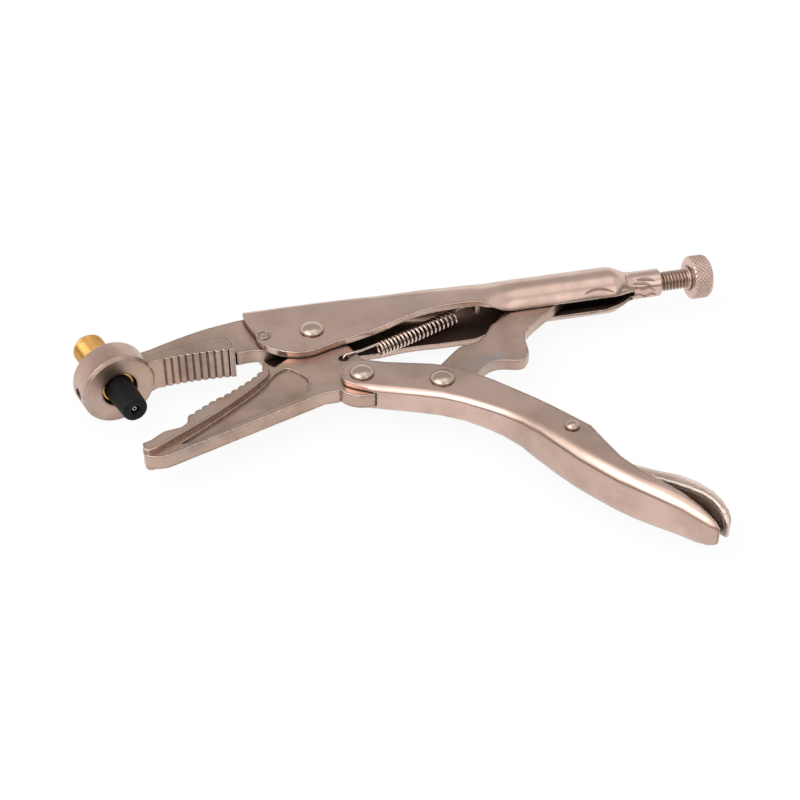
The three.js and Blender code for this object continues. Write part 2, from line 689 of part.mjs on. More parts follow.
// Toggle link in shares of the handle's reach; its nose and eye are round.
const linkShares = [
  [[0.25, -0.24]],
  [[0.305, -0.193]],
  [[0.372, -0.131], [0.4, -0.126], [0.425, -0.118], [0.45, -0.096], [0.478, -0.056]],
  [[0.503, -0.037], [0.54, 0], [0.59, 0.034], [0.65, 0.062], [0.69, 0.08]],
  [[0.72, 0.03]],
  [[0.68, -0.007], [0.62, -0.054], [0.57, -0.098], [0.553, -0.13], [0.548, -0.175], [0.543, -0.2]],
  [[0.525, -0.221], [0.505, -0.224], [0.46, -0.213], [0.425, -0.222], [0.39, -0.252]],
  [[0.345, -0.285]],
  [[0.3, -0.3]],
];

function toggleLink() {
  const noseX = linkNoseX - linkNoseRadius;
  const body = unite([
    plate(outline(handleReach, linkShares), linkHalf, 0.14 * linkHalf),
    disc(linkEye, linkHalf, linkRivetX, linkRivetY),
    disc(linkNoseRadius, linkHalf, noseX, screwAxisY, smallSides),
  ]);
  return cut(body, [disc(rivetShank + runningGap, linkHalf + overrun, linkRivetX, linkRivetY)]);
}

// A rivet set on both sides of the stack that it holds.
function rivet(x, y, halfStack, shank, head, rim, rise, dish) {
  const face = halfStack + sideGap / 2;
  const side = (sign) => [
    [head, sign * face],
    [head, sign * (face + rim)],
    [0.84 * head, sign * (face + 0.82 * rise)],
    [0.58 * head, sign * (face + rise)],
    [0, sign * (face + rise - dish)],
  ];
  const profile = [...side(-1).reverse(), [shank, -face], [shank, face], ...side(1)];
  const geometry = new THREE.LatheGeometry(profile.map(([r, z]) => new THREE.Vector2(r, z)), rivetSides);
  geometry.rotateX(Math.PI / 2);
  geometry.translate(x, y, 0);
  return solid(geometry);
}

function largeRivet(x, y) {
  return rivet(x, y, gripHalf, rivetShank, rivetHead, rivetRimRise, rivetHeadRise, rivetDish);
}

function smallRivet(x, y) {
  return rivet(x, y, gripWide, smallShank, smallHead, smallRimRise, smallHeadRise, 0);
}

function brassFitting() {
  const seat = -fittingSink;
  const far = -ringLength - fittingReach;
  const body = ringBore - fitGap;
  const nose = threadRadius - flareNose / 2;
  const profile = [
    [fittingBore, seat - gasketSeat - overrun],
    [gasketBase + fitGap, seat - gasketSeat - overrun],
    [gasketBase + fitGap, seat],
    [body, seat],
    [body, -ringLength - sideGap],
    [threadRadius, -ringLength - sideGap],
    [threadRadius, far + flareNose],
    [nose, far],
    [fittingBore, far],
  ];
  return turned([...profile, profile[0]], ringFaceX, ringFaceY, ringAngle);
}

function rubberGasket() {
  const profile = [
    [gasketHole, -fittingSink - gasketSeat],
    [gasketBase, -fittingSink - gasketSeat],
    [gasketBase, 0],
    [gasketEnd, gasketReach - gasketRound],
    [gasketEnd - gasketRound, gasketReach],
    [gasketHole, gasketReach],
  ];
  return turned([...profile, profile[0]], ringFaceX, ringFaceY, ringAngle);
}

function piercingNeedle() {
  const end = gasketReach - needleShort;
  const root = -fittingSink - gasketSeat - overrun - needleRoot;
  const foot = fittingBore - fitGap;
  const profile = [
    [needleBore, root],
    [foot, root],
    [foot, root + needleRoot],
    [needleRadius, root + needleRoot],
    [needleRadius, end - needleCone],
    [needleBore + fitGap, end],
    [needleBore, end],
  ];
  return turned([...profile, profile[0]], ringFaceX, ringFaceY, ringAngle, smallSides);
}

function setScrew() {
  const inner = ringBore + sideGap - fitGap;
  const outer = ringRadius - setScrewSink;
  return cut(setScrewSolid(setScrewRadius, inner, outer), [
    setScrewSolid(setScrewSocket, outer - setScrewSocketDepth, outer + overrun),
  ]);
}

function adjustingScrew() {
  const end = knobX + knobWidth - knobSocket - sideGap;
  return turned([
    [0, screwTip],
    [screwRadius - screwPoint, screwTip],
    [screwRadius, screwTip + screwPoint],
    [screwRadius, end],
    [0, end],
  ], 0, screwAxisY, 0);
}

function adjustingKnob() {
  const far = knobX + knobWidth;
  const shape = new THREE.Shape();
  for (let i = 0; i < 2 * knobFlutes; i += 1) {
    const angle = (i / knobFlutes) * Math.PI;
    const radius = i % 2 ? knobRadius - knobFluteDepth : knobRadius;
    const point = [radius * Math.cos(angle), radius * Math.sin(angle)];
    if (i === 0) shape.moveTo(...point);
    else shape.lineTo(...point);
  }
  const rim = new THREE.ExtrudeGeometry(shape, { depth: knobWidth, bevelEnabled: false });
  rim.rotateY(Math.PI / 2);
  rim.translate(knobX, screwAxisY, 0);
  const round = turned([
    [0, knobX],
    [knobRadius, knobX],
    [knobRadius, far - knobBevel],
    [knobRadius - knobBevel, far],
    [0, far],
  ], 0, screwAxisY, 0, 2 * knobFlutes);
  const collar = turned([
    [0, knobX - collarLength],
    [collarRadius, knobX - collarLength],
    [collarRadius, knobX + overrun],
    [0, knobX + overrun],
  ], 0, screwAxisY, 0);
  const socket = turned([
    [0, knobX - overrun],
    [screwRadius + knobGap, knobX - overrun],
    [screwRadius + knobGap, far - knobSocket],
    [0, far - knobSocket],
  ], 0, screwAxisY, 0);
  return unite([solid(rim).intersect(round), collar]).subtract(socket);
}

// The spring is one unbroken wire: a hook in the moving jaw, its curls, and a loop round the handle's tab.
function springRoute() {
  const start = new THREE.Vector2(hookHoleX, hookHoleY);
  const tab = new THREE.Vector2(tabX, tabLowY + tabThick);
  const length = start.distanceTo(tab);
  const along = tab.clone().sub(start).divideScalar(length);
  const across = new THREE.Vector2(-along.y, along.x);
  const place = (distance, side, height) =>
    new THREE.Vector3(
      start.x + along.x * distance + across.x * side,
      start.y + along.y * distance + across.y * side,
      height,
    );
  const points = [];
  const hookDrop = jawPlate / 2 + springWire;
  points.push(place(0, 0, -hookDrop));
  points.push(place(0, 0, 0));
  points.push(place(0, 0, hookDrop - springWire / 2));
  points.push(place(springWire, 0, hookDrop + springWire / 4));
  const first = springStart * length;
  const last = springEnd * length;
  points.push(place(first / 2, 0, springMean + springWire / 4));
  points.push(place(first - springWire, 0, springMean));
  const steps = 8;
  for (let i = 0; i <= springCurls * steps; i += 1) {
    const turn = (i / steps) * 2 * Math.PI;
    const share = i / (springCurls * steps);
    const grown = share * (0.85 + 0.15 * share);
    const distance = first + (last - first) * grown;
    points.push(place(distance, -springMean * Math.sin(turn), springMean * Math.cos(turn)));
  }
  const loopHalf = tabThick / 2 + springWire;
  points.push(place(last + 2 * springWire, 0, springMean));
  points.push(place(length - loopHalf, 0, springMean));
  points.push(place(length + loopHalf, 0, springMean));
  points.push(place(length + loopHalf, 0, 0));
  points.push(place(length + loopHalf, 0, -springMean));
  return points;
}

// Sweeps a five-sided wire through the points, which are kept as the wire's own corners.
function wireThrough(points, radius) {
  const sides = 5;
  const positions = [];
  const faces = [];
  const direction = (i) => {
    const before = points[Math.max(i - 1, 0)];
    const after = points[Math.min(i + 1, points.length - 1)];
    return after.clone().sub(before).normalize();
  };
  let up = new THREE.Vector3(0, 0, 1);
  if (Math.abs(direction(0).z) > 0.9) up = new THREE.Vector3(1, 0, 0);
  points.forEach((point, i) => {
    const forward = direction(i);
    up.addScaledVector(forward, -up.dot(forward)).normalize();
    const side = new THREE.Vector3().crossVectors(forward, up);
    for (let k = 0; k < sides; k += 1) {
      const turn = (k / sides) * 2 * Math.PI;
      const corner = point.clone()
        .addScaledVector(up, radius * Math.cos(turn))
        .addScaledVector(side, radius * Math.sin(turn));
      positions.push(corner.x, corner.y, corner.z);
    }
  });
  for (let r = 0; r < points.length - 1; r += 1) {
    for (let k = 0; k < sides; k += 1) {
      const a = r * sides + k;
      const b = r * sides + ((k + 1) % sides);
      faces.push(a, b, b + sides, a, b + sides, a + sides);
    }
  }
  const last = (points.length - 1) * sides;
  for (let k = 1; k < sides - 1; k += 1) {
    faces.push(0, k + 1, k, last, last + k, last + k + 1);
  }
  const geometry = new THREE.BufferGeometry();
  geometry.setAttribute("position", new THREE.Float32BufferAttribute(positions, 3));
  geometry.setIndex(faces);
  return solid(geometry);
}

// The least gap between one stretch of the wire and another, measured on points along it.
function leastWireGap(points, wire) {
  const apart = 5;
  let least = Infinity;
  points.forEach((point, i) => {
    for (let k = i + apart; k < points.length; k += 1) {
      least = Math.min(least, point.distanceTo(points[k]) - wire);
    }
  });
  return least;
}

const route = springRoute();
console.log("spring: least gap between curls", leastWireGap(route, springWire).toFixed(3), "mm");

// Finishes
const nickel = { color: 0xb9aaa0, roughness: 0.32, metalness: 0.9 };
const forged = { color: 0xa89a92, roughness: 0.42, metalness: 0.85 };
const bright = { color: 0xcfc4bc, roughness: 0.25, metalness: 0.95 };
const brass = { color: 0xc9963e, roughness: 0.35, metalness: 0.9 };
const rubber = { color: 0x14151a, roughness: 0.75, metalness: 0 };
const blackSteel = { color: 0x2a2826, roughness: 0.5, metalness: 0.7 };

function piece(name, made, finish) {
  const mesh = new THREE.Mesh(geometryOf(made), new THREE.MeshStandardMaterial(finish));
  mesh.name = name;
  return mesh;
}

const tool = new THREE.Group();
tool.add(
  piece("upper_handle", upperHandle(), nickel),
  piece("fixed_jaw", fixedJaw(), forged),
  piece("moving_jaw", movingJaw(), forged),
  piece("lower_handle", lowerHandle(), nickel),
  piece("toggle_link", toggleLink(), forged),
  piece("release_lever", releaseLever(), nickel),
  piece("main_rivet", largeRivet(0, 0), bright),
  piece("jaw_rivet", largeRivet(jawRivetX, jawRivetY), bright),
  piece("link_rivet", largeRivet(linkRivetX, linkRivetY), bright),
  piece("lever_rivet", smallRivet(leverRivetX, leverRivetY), bright),
  piece("adjusting_screw", adjustingScrew(), nickel),
  piece("adjusting_knob", adjustingKnob(), nickel),
  piece("return_spring", wireThrough(route, springWire / 2), bright),
  piece("brass_fitting", brassFitting(), brass),
  piece("rubber_gasket", rubberGasket(), rubber),
  piece("piercing_needle", piercingNeedle(), bright),
  piece("set_screw", setScrew(), blackSteel),
);

// The tool lies flat, with the group's origin under its middle.
const box = new THREE.Box3().setFromObject(tool);
const middle = box.getCenter(new THREE.Vector3());
tool.position.set(-middle.x, -middle.y, -box.min.z);

const pliers = new THREE.Group();
pliers.add(tool);

export default pliers;
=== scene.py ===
"""Tube-piercing locking pliers: finishes, threads, knurling and the studio."""

import math

import bmesh
import bpy
from mathutils import Matrix, Vector
from mathutils.bvhtree import BVHTree


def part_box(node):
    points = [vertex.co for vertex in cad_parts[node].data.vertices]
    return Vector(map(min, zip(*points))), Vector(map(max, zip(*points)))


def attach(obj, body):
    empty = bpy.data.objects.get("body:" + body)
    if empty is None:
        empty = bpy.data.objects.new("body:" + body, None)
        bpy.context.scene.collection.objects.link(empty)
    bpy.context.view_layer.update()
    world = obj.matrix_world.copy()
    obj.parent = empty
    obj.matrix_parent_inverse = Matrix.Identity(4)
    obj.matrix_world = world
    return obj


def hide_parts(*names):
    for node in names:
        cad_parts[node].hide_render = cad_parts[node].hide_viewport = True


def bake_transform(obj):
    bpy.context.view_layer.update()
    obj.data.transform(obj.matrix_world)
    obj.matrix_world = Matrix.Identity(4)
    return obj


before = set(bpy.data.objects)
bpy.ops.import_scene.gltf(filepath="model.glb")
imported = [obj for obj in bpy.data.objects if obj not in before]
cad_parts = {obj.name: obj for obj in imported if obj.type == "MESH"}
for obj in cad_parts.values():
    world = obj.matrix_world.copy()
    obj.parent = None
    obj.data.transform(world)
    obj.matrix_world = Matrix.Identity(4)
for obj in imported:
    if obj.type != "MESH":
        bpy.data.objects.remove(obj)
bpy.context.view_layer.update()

bl_info = {
    "name": "Tube-piercing locking pliers",
    "version": (1, 0, 0),
    "blender": (4, 5, 0),
    "location": "View3D > Sidebar > Pliers",
    "description": "Dresses the locking pliers with plating, threads and knurling",
    "category": "Object",
}

MM = 0.001


def middle_of(node):
    """The middle of a node's box."""
    low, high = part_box(node)
    return (Vector(low) + Vector(high)) / 2


MAIN_RIVET = middle_of("main_rivet")

# Places in the pliers' own plan, in millimetres from the main rivet, as in the part's source.
REACH = 126.0
JAW_REACH = 0.492 * REACH
RING_FACE = (-1.058 * JAW_REACH, -0.1806 * JAW_REACH)
RING_ANGLE = math.radians(-71.7)
SCREW_LINE = 0.054 * REACH
SCREW_TIP = 0.73 * REACH + 2.4
KNOB_LEFT = 137.0
KNOB_RIGHT = 143.8
KNOB_LIP = 0.8
HOOK_HOLE = (0.062 * REACH, -0.1143 * REACH)
SPRING_TAB = (0.468 * REACH, 0.0413 * REACH + 1.5)
DIMPLE = (-0.129 * REACH, 0.005 * REACH, 5.15)

# Folds, seams and lips where the upper handle is drawn down to its tube, in millimetres:
# name, thickness, and a line of places in plan with their height.
CRIMPS = (
    (
        "neck_seam",
        0.2,
        ((112.6, 7, 5.5), (112.6, 5.5, 5.45), (112.4, 3.5, 4.8), (112.4, 2.2, 3.5), (112.6, 1.7, 2.8)),
    ),
    (
        "upper_fold",
        0.5,
        ((116, 4.3, 4.1), (118.5, 4.2, 4.1), (120.8, 3.9, 3.95), (123, 3.3, 3.3)),
    ),
    (
        "middle_fold",
        0.42,
        ((114.5, 3.1, 3.4), (117.4, 3, 3.1), (119.6, 2.9, 2.8), (122.6, 2.2, 1.6)),
    ),
    (
        "wavy_seam",
        0.34,
        ((113.6, 2, 2.2), (115.8, 2.5, 2.3), (118.2, 2.1, 1.3), (120.6, 2.2, 1.6), (123, 1.85, 0)),
    ),
    (
        "rough_seam",
        0.4,
        ((114.2, 1.7, -1), (117, 2, -0.6), (119.4, 2.35, -2), (121.4, 2, -1), (123.6, 2.2, -1.9)),
    ),
    (
        "lip_bulge",
        0.45,
        ((95.6, -0.5, 4.4), (98.2, 0.1, 5.2), (100.9, 0.3, 5.4), (103.6, -0.1, 5), (106.6, -0.8, 3.9)),
    ),
    (
        "slot_lip",
        0.38,
        (
            (84, -0.9, 3.2),
            (92.2, -0.9, 3.1),
            (99, -1, 3.2),
            (103, -1.2, 2.7),
            (108, -0.7, 3),
            (113, 1.6, 2.1),
        ),
    ),
    (
        "lip_flap",
        0.7,
        ((102.6, -1.2, -3.3), (105.5, -1, -2.7), (109.5, 0, -2.4), (112.6, 1.6, -2.1), (115, 2, -2.3)),
    ),
    (
        "slot_sill",
        0.36,
        ((84, -0.9, -3.3), (92, -0.9, -3.3), (98.3, -0.9, -3.4), (103.6, -1, -3.2)),
    ),
)

# The photograph's view, in millimetres: the place it looks at, in plan, the way from there to the camera,
# and the camera's film and lens.
VIEWED = (21.68, -37.01)
TO_CAMERA = (-92.3, -395.0, 328.5)
FILM_WIDTH = 36
FOCAL_LENGTH = 72.9

# Lamps: name, the way to it from the viewed place and its width, both in metres, and its power in watts.
LAMPS = (
    ("key", (-0.6, -0.35, 0.75), 0.8, 2.4),
    ("top", (0.15, -0.1, 1.0), 0.8, 0.8),
    ("front", (0.5, -0.8, 0.6), 0.6, 0.5),
)

# Colours that the finishes share: film and wear, and painted shade and painted highlights.
# Painted shade: the near-black that surfaces far inside folds and channels are darkened to.
PAINTED_FOLD_SHADE = (0.03, 0.018, 0.013)
# Painted shade: the dark brown of corners and of the gaps between parts, such as round the rivets.
PAINTED_CORNER_SHADE = (0.1, 0.065, 0.048)
# Painted shade: the broken dark line beside bright edges.
PAINTED_EDGE_SHADE = (0.13, 0.08, 0.06)
# Worn edges and a painted highlight: the pale colour that rounded edges are brightened to.
EDGE_WEAR_AND_HIGHLIGHT = (0.88, 0.75, 0.67)
OCHRE_BLOOM = (0.55, 0.41, 0.3)
GREY_BLOOM = (0.47, 0.42, 0.41)
# Painted shade: the near-black far inside a folded sheet's channel.
PAINTED_SHEET_SHADE = (0.022, 0.012, 0.009)
# Painted shade: the dark of the roots of a thread or knurling.
PAINTED_ROOT_SHADE = (0.07, 0.042, 0.03)
# Painted shade: the dark between a spring's curls.
PAINTED_WIRE_SHADE = (0.06, 0.04, 0.03)
# Partly the brass's own dull film, partly painted shade in the thread's roots.
BRASS_FILM_AND_SHADE = (0.16, 0.075, 0.018)
RUBBER_BLOOM = (0.02, 0.019, 0.02)
RUBBED_OXIDE = (0.2, 0.17, 0.15)


def place(x, y, z=0.0):
    """A place in the pliers' plan, with its height, as a point of the scene."""
    return MAIN_RIVET + Vector((x, y, z)) * MM


def axis_frame(x, y, angle):
    """A frame whose X runs along an axis in plan."""
    return Matrix.Translation(place(x, y)) @ Matrix.Rotation(angle, 4, "Z")


def upright_frame(centre):
    """A frame whose X points up, for what is turned round a rivet's axis."""
    return Matrix.Translation(centre) @ Matrix.Rotation(-math.pi / 2, 4, "Y")


# Sizes and colours


class PliersSizes(bpy.types.PropertyGroup):
    """Sizes of the details that are added to the pliers."""

    flare_pitch: bpy.props.FloatProperty(
        name="Flare thread pitch",
        description="Pitch of the brass fitting's thread",
        default=1.27 * MM,
        min=0.5 * MM,
        max=3 * MM,
        precision=5,
        unit="LENGTH",
    )
    flare_depth: bpy.props.FloatProperty(
        name="Flare thread depth",
        description="Depth of the brass fitting's thread",
        default=0.5 * MM,
        min=0.1 * MM,
        max=1.5 * MM,
        precision=5,
        unit="LENGTH",
    )
    screw_pitch: bpy.props.FloatProperty(
        name="Screw thread pitch",
        description="Pitch of the adjusting screw's thread",
        default=1.25 * MM,
        min=0.5 * MM,
        max=3 * MM,
        precision=5,
        unit="LENGTH",
    )
    screw_depth: bpy.props.FloatProperty(
        name="Screw thread depth",
        description="Depth of the adjusting screw's thread",
        default=0.6 * MM,
        min=0.1 * MM,
        max=1.5 * MM,
        precision=5,
        unit="LENGTH",
    )
    knurl_count: bpy.props.IntProperty(
        name="Knurl count",
        description="Diamonds round the knob's rim",
        default=32,
        min=12,
        max=80,
    )
    knurl_depth: bpy.props.FloatProperty(
        name="Knurl depth",
        description="Depth of the knob's knurling",
        default=0.45 * MM,
        min=0.1 * MM,
        max=1 * MM,
        precision=5,
        unit="LENGTH",
    )
    wire: bpy.props.FloatProperty(
        name="Spring wire",
        description="Thickness of the return spring's wire",
        default=0.8 * MM,
        min=0.3 * MM,
        max=2 * MM,
        precision=5,
        unit="LENGTH",
    )
    edge_round: bpy.props.FloatProperty(
        name="Edge round",
        description="Radius that tumbling leaves on the steel's edges",
        default=0.5 * MM,
        min=0.05 * MM,
        max=1 * MM,
        precision=5,
        unit="LENGTH",
    )


class PliersColours(bpy.types.PropertyGroup):
    """Colours of the finishes."""

    handle: bpy.props.FloatVectorProperty(
        name="Handle plating",
        description="Warm nickel plating of the pressed handles",
        default=(0.67, 0.48, 0.405),
        min=0,
        max=1,
        size=3,
        subtype="COLOR",
    )
    # Painted shade: far darker than the handle plating, for the shade inside the folded channels.
    handle_inside_shade: bpy.props.FloatVectorProperty(
        name="Handle inside",
        description="Thin plating inside the folded handles",
        default=(0.2, 0.13, 0.1),
        min=0,
        max=1,
        size=3,
        subtype="COLOR",
    )
    # Painted shade: darker than the handle plating, for the shade in the folds round the tube.
    crimp_shaded: bpy.props.FloatVectorProperty(
        name="Crimped folds",
        description="Plating of the folds and torn lips round the tube",
        default=(0.4, 0.27, 0.215),
        min=0,
        max=1,
        size=3,
        subtype="COLOR",
    )
    # Painted light: lighter than the handle plating, for the light that the lever's curved tail catches.
    lever: bpy.props.FloatVectorProperty(
        name="Lever plating",
        description="Bright nickel plating of the release lever",
        default=(0.86, 0.67, 0.58),
        min=0,
        max=1,
        size=3,
        subtype="COLOR",
    )
    # Painted light: far lighter than the handles' lining, for the light that falls into the lever's trough.
    lever_trough_lit: bpy.props.FloatVectorProperty(
        name="Lever inside",
        description="Plating inside the release lever's trough",
        default=(0.72, 0.52, 0.43),
        min=0,
        max=1,
        size=3,
        subtype="COLOR",
    )
    jaw: bpy.props.FloatVectorProperty(
        name="Jaw plating",
        description="Nickel plating over the forged jaws and link",
        default=(0.595, 0.425, 0.35),
        min=0,
        max=1,
        size=3,
        subtype="COLOR",
    )
    stain: bpy.props.FloatVectorProperty(
        name="Plating stain",
        description="Brown tint of the plating where it is thin or stained",
        default=(0.3, 0.2, 0.15),
        min=0,
        max=1,
        size=3,
        subtype="COLOR",
    )
    rivet: bpy.props.FloatVectorProperty(
        name="Rivet plating",
        description="Smooth plating of the rivets' heads",
        default=(0.54, 0.405, 0.34),
        min=0,
        max=1,
        size=3,
        subtype="COLOR",
    )
    # Painted highlight: lighter than drawn steel is, so that the needle's tip shows a glint.
    needle: bpy.props.FloatVectorProperty(
        name="Needle",
        description="Drawn steel of the piercing needle",
        default=(0.85, 0.76, 0.7),
        min=0,
        max=1,
        size=3,
        subtype="COLOR",
    )
    thread: bpy.props.FloatVectorProperty(
        name="Screw thread",
        description="Plating of the adjusting screw",
        default=(0.5, 0.34, 0.265),
        min=0,
        max=1,
        size=3,
        subtype="COLOR",
    )
    wire: bpy.props.FloatVectorProperty(
        name="Spring wire",
        description="Drawn spring wire",
        default=(0.7, 0.56, 0.48),
        min=0,
        max=1,
        size=3,
        subtype="COLOR",
    )
    brass: bpy.props.FloatVectorProperty(
        name="Brass",
        description="Machined brass of the flare fitting",
        default=(0.68, 0.37, 0.11),
        min=0,
        max=1,
        size=3,
        subtype="COLOR",
    )
    rubber: bpy.props.FloatVectorProperty(
        name="Rubber",
        description="Black rubber of the gasket",
        default=(0.006, 0.0055, 0.006),
        min=0,
        max=1,
        size=3,
        subtype="COLOR",
    )
    black: bpy.props.FloatVectorProperty(
        name="Blackened steel",
        description="Black oxide of the set screw",
        default=(0.05, 0.045, 0.04),
        min=0,
        max=1,
        size=3,
        subtype="COLOR",
    )


# Materials


class Value:
    """A socket of a material that can be used in sums."""

    def __init__(self, socket):
        self.socket = socket

    def node(self, kind, settings=None, sockets=None, out=0):
        """A new node in the same material: its settings first, then its sockets."""
        made = self.socket.id_data.nodes.new(kind)
        for name, setting in (settings or {}).items():
            setattr(made, name, setting)
        for name, value in (sockets or {}).items():
            target = made.inputs[name]
            if isinstance(value, Value):
                self.socket.id_data.links.new(value.socket, target)
            else:
                target.default_value = value
        return Value(made.outputs[out])

    def _math(self, operation, first, second):
        return self.node("ShaderNodeMath", {"operation": operation}, {0: first, 1: second})

    def __add__(self, other):
        return self._math("ADD", self, other)

    def __radd__(self, other):
        return self._math("ADD", other, self)

    def __sub__(self, other):
        return self._math("SUBTRACT", self, other)

    def __rsub__(self, other):
        return self._math("SUBTRACT", other, self)

    def __mul__(self, other):
        return self._math("MULTIPLY", self, other)

    def __rmul__(self, other):
        return self._math("MULTIPLY", other, self)

    def clamped(self):
        """The same value, held between 0 and 1."""
        return self.node("ShaderNodeClamp", None, {"Value": self})

    def noise(self, size, detail=3.0, roughness=0.55, stretch=(1, 1, 1)):
        """Noise whose blots are about this large, in metres."""
        spread = self.node("ShaderNodeMapping", None, {"Vector": self, "Scale": stretch})
        return self.node(
            "ShaderNodeTexNoise",
            None,
            {"Vector": spread, "Scale": 1 / size, "Detail": detail, "Roughness": roughness},
        )

    def ramp(self, low, high):
        """0 below low and 1 above high, with soft ends."""
        return self.node(
            "ShaderNodeMapRange",
            {"interpolation_type": "SMOOTHSTEP"},
            {"Value": self, "From Min": low, "From Max": high},
        )

    def tint(self, first, second):
        """The first colour where this is 0, the second where it is 1."""

        def four(colour):
            return colour if isinstance(colour, Value) else (*colour[:3], 1)

        return self.node(
            "ShaderNodeMix",
            {"data_type": "RGBA"},
            {"Factor": self, 6: four(first), 7: four(second)},
            out=2,
        )


def finish(name, metallic=0.0, **constants):
    """A new material with its shader and its place on the object."""
    material = bpy.data.materials.new(name)
    material.use_nodes = True
    tree = material.node_tree
    shader = tree.nodes["Principled BSDF"]
    shader.inputs["Metallic"].default_value = metallic
    for socket, value in constants.items():
        shader.inputs[socket.replace("_", " ")].default_value = value
    coordinates = tree.nodes.new("ShaderNodeTexCoord")
    return material, shader, Value(coordinates.outputs["Object"])


def feed(shader, socket, value):
    """Links a value into one of the shader's sockets."""
    shader.id_data.links.new(value.socket, shader.inputs[socket])


def shaded(here, distance, low, high, local=True):
    """1 where other surfaces stand this close around a place, 0 in the open."""
    open_share = here.node(
        "ShaderNodeAmbientOcclusion",
        {"samples": 4, "only_local": local},
        {"Distance": distance},
        out=1,
    )
    return 1 - open_share.ramp(low, high)


def rounding(here, radius):
    """The surface's direction with its edges rounded off."""
    return here.node("ShaderNodeBevel", {"samples": 4}, {"Radius": radius})


def crests(here, rounded):
    """1 along the edges that are rounded off, 0 on the flats."""
    plain = here.node("ShaderNodeNewGeometry", out="Normal")
    product = {"operation": "DOT_PRODUCT"}
    agreement = here.node("ShaderNodeVectorMath", product, {0: rounded, 1: plain}, out="Value")
    return (1 - agreement).ramp(0.01, 0.14)


def bumped(here, strength, depth, height, rounded=None):
    """The surface's direction with fine relief, over its rounded edges where they are given."""
    sockets = {"Strength": strength, "Distance": depth, "Height": height}
    if rounded is not None:
        sockets["Normal"] = rounded
    return here.node("ShaderNodeBump", None, sockets)


def plated_steel(name, colour, stain, grain, rough, edge, worn, relief=0.1, bloom=0.3, inside=0.6):
    """Nickel plating: warm, with blooms and stains; bright along its edges, partly from wear and partly as
    a painted highlight; painted shade in corners, between parts and in folds.
    """
    material, shader, here = finish(name, metallic=1.0)
    rounded = rounding(here, edge)
    clouds = here.noise(14 * MM, 4).ramp(0.42, 0.72)
    specks = here.noise(0.9 * MM, 2).ramp(0.6, 0.78)
    smudge = here.noise(30 * MM, 3, stretch=(1, 1, 0.5)).ramp(0.46, 0.66)
    ochre = here.noise(21 * MM, 2, stretch=(1, 1, 0.4)).ramp(0.5, 0.72)
    grey = here.noise(17 * MM, 2, stretch=(0.6, 1, 1)).ramp(0.52, 0.75)
    # Painted shade: darker in corners and where parts meet, as contact shadow.
    corner_shade = shaded(here, 1.4 * MM, 0.35, 0.85, local=False)
    # Painted shade: darker far inside folds and channels, where other surfaces stand round.
    deep_shade = shaded(here, 13 * MM, 0.12, inside, local=False)

    # Bright edges, partly wear and partly a painted highlight, and beside them a broken dark line of
    # painted shade.
    crest = crests(here, rounded) * (1 - corner_shade)
    broken = here.noise(1.6 * MM, 3, 0.7).ramp(0.38, 0.5)
    fringe_shade = crests(here, rounding(here, 3 * edge)) * (1 - crest) * broken

    plating = (ochre * bloom).tint(colour, OCHRE_BLOOM)
    plating = (grey * bloom).tint(plating, GREY_BLOOM)
    plating = (clouds * worn + specks * 0.3 + smudge * worn * 0.7).clamped().tint(plating, stain)
    # Painted shade in corners and between parts.
    plating = (corner_shade * 0.85).tint(plating, PAINTED_CORNER_SHADE)
    plating = (fringe_shade * 0.85).tint(plating, PAINTED_EDGE_SHADE)
    # Edges brightened, partly as wear and partly as a painted highlight.
    plating = (crest * 0.75).tint(plating, EDGE_WEAR_AND_HIGHLIGHT)
    # Painted shade far inside folds and channels, over all of the plating.
    feed(shader, "Base Color", (deep_shade * 0.94).tint(plating, PAINTED_FOLD_SHADE))
    polish = here.noise(0.35 * MM, 2, stretch=(0.08, 1, 1))
    feed(shader, "Roughness", rough + clouds * 0.08 + polish * 0.1 + corner_shade * 0.12 + deep_shade * 0.25)
    height = here.noise(grain, 3) * 0.8 + here.noise(3.5 * MM, 2) * 0.35
    feed(shader, "Normal", bumped(here, relief, 0.1 * MM, height, rounded))
    return material


def sheet_inside_shaded(name, colour, shade, metallic):
    """The inside of a folded sheet, which polish hardly reaches: matt, and darkened by painted shade far
    inside its channel.
    """
    material, shader, here = finish(name, metallic=metallic)
    clouds = here.noise(9 * MM, 4).ramp(0.4, 0.75)
    # Painted shade: darker far inside the channel.
    deep_shade = shaded(here, 11 * MM, 0.1, 0.75, local=False)
    plating = (clouds * 0.5).tint(colour, [0.55 * c for c in colour])
    feed(shader, "Base Color", (deep_shade * shade).tint(plating, PAINTED_SHEET_SHADE))
    feed(shader, "Roughness", 0.42 + clouds * 0.12)
    feed(shader, "Normal", bumped(here, 0.1, 0.1 * MM, here.noise(0.8 * MM, 3)))
    return material


def cut_steel(name, colour, rough, root_open, crest_open, shade):
    """Plated steel with fine cuts, such as a thread or knurling: painted shade darkens the roots between
    the crests.
    """
    material, shader, here = finish(name, metallic=0.85)
    # Painted shade: darker in the roots of the cuts.
    root_shade = shaded(here, 1.2 * MM, root_open, crest_open)
    # Painted shade: darker where it lies far inside other parts, as the screw does in its tube.
    deep_shade = shaded(here, 13 * MM, 0.05, 0.4, local=False)
    film = here.noise(5 * MM, 3).ramp(0.4, 0.75)
    plating = (film * 0.35).tint(colour, [0.62 * c for c in colour])
    plating = (root_shade * 0.85).tint(plating, PAINTED_ROOT_SHADE)
    feed(shader, "Base Color", (deep_shade * shade).tint(plating, PAINTED_FOLD_SHADE))
    feed(shader, "Roughness", rough + film * 0.1 + root_shade * 0.2)
    feed(shader, "Normal", bumped(here, 0.08, 0.05 * MM, here.noise(0.25 * MM, 2)))
    return material


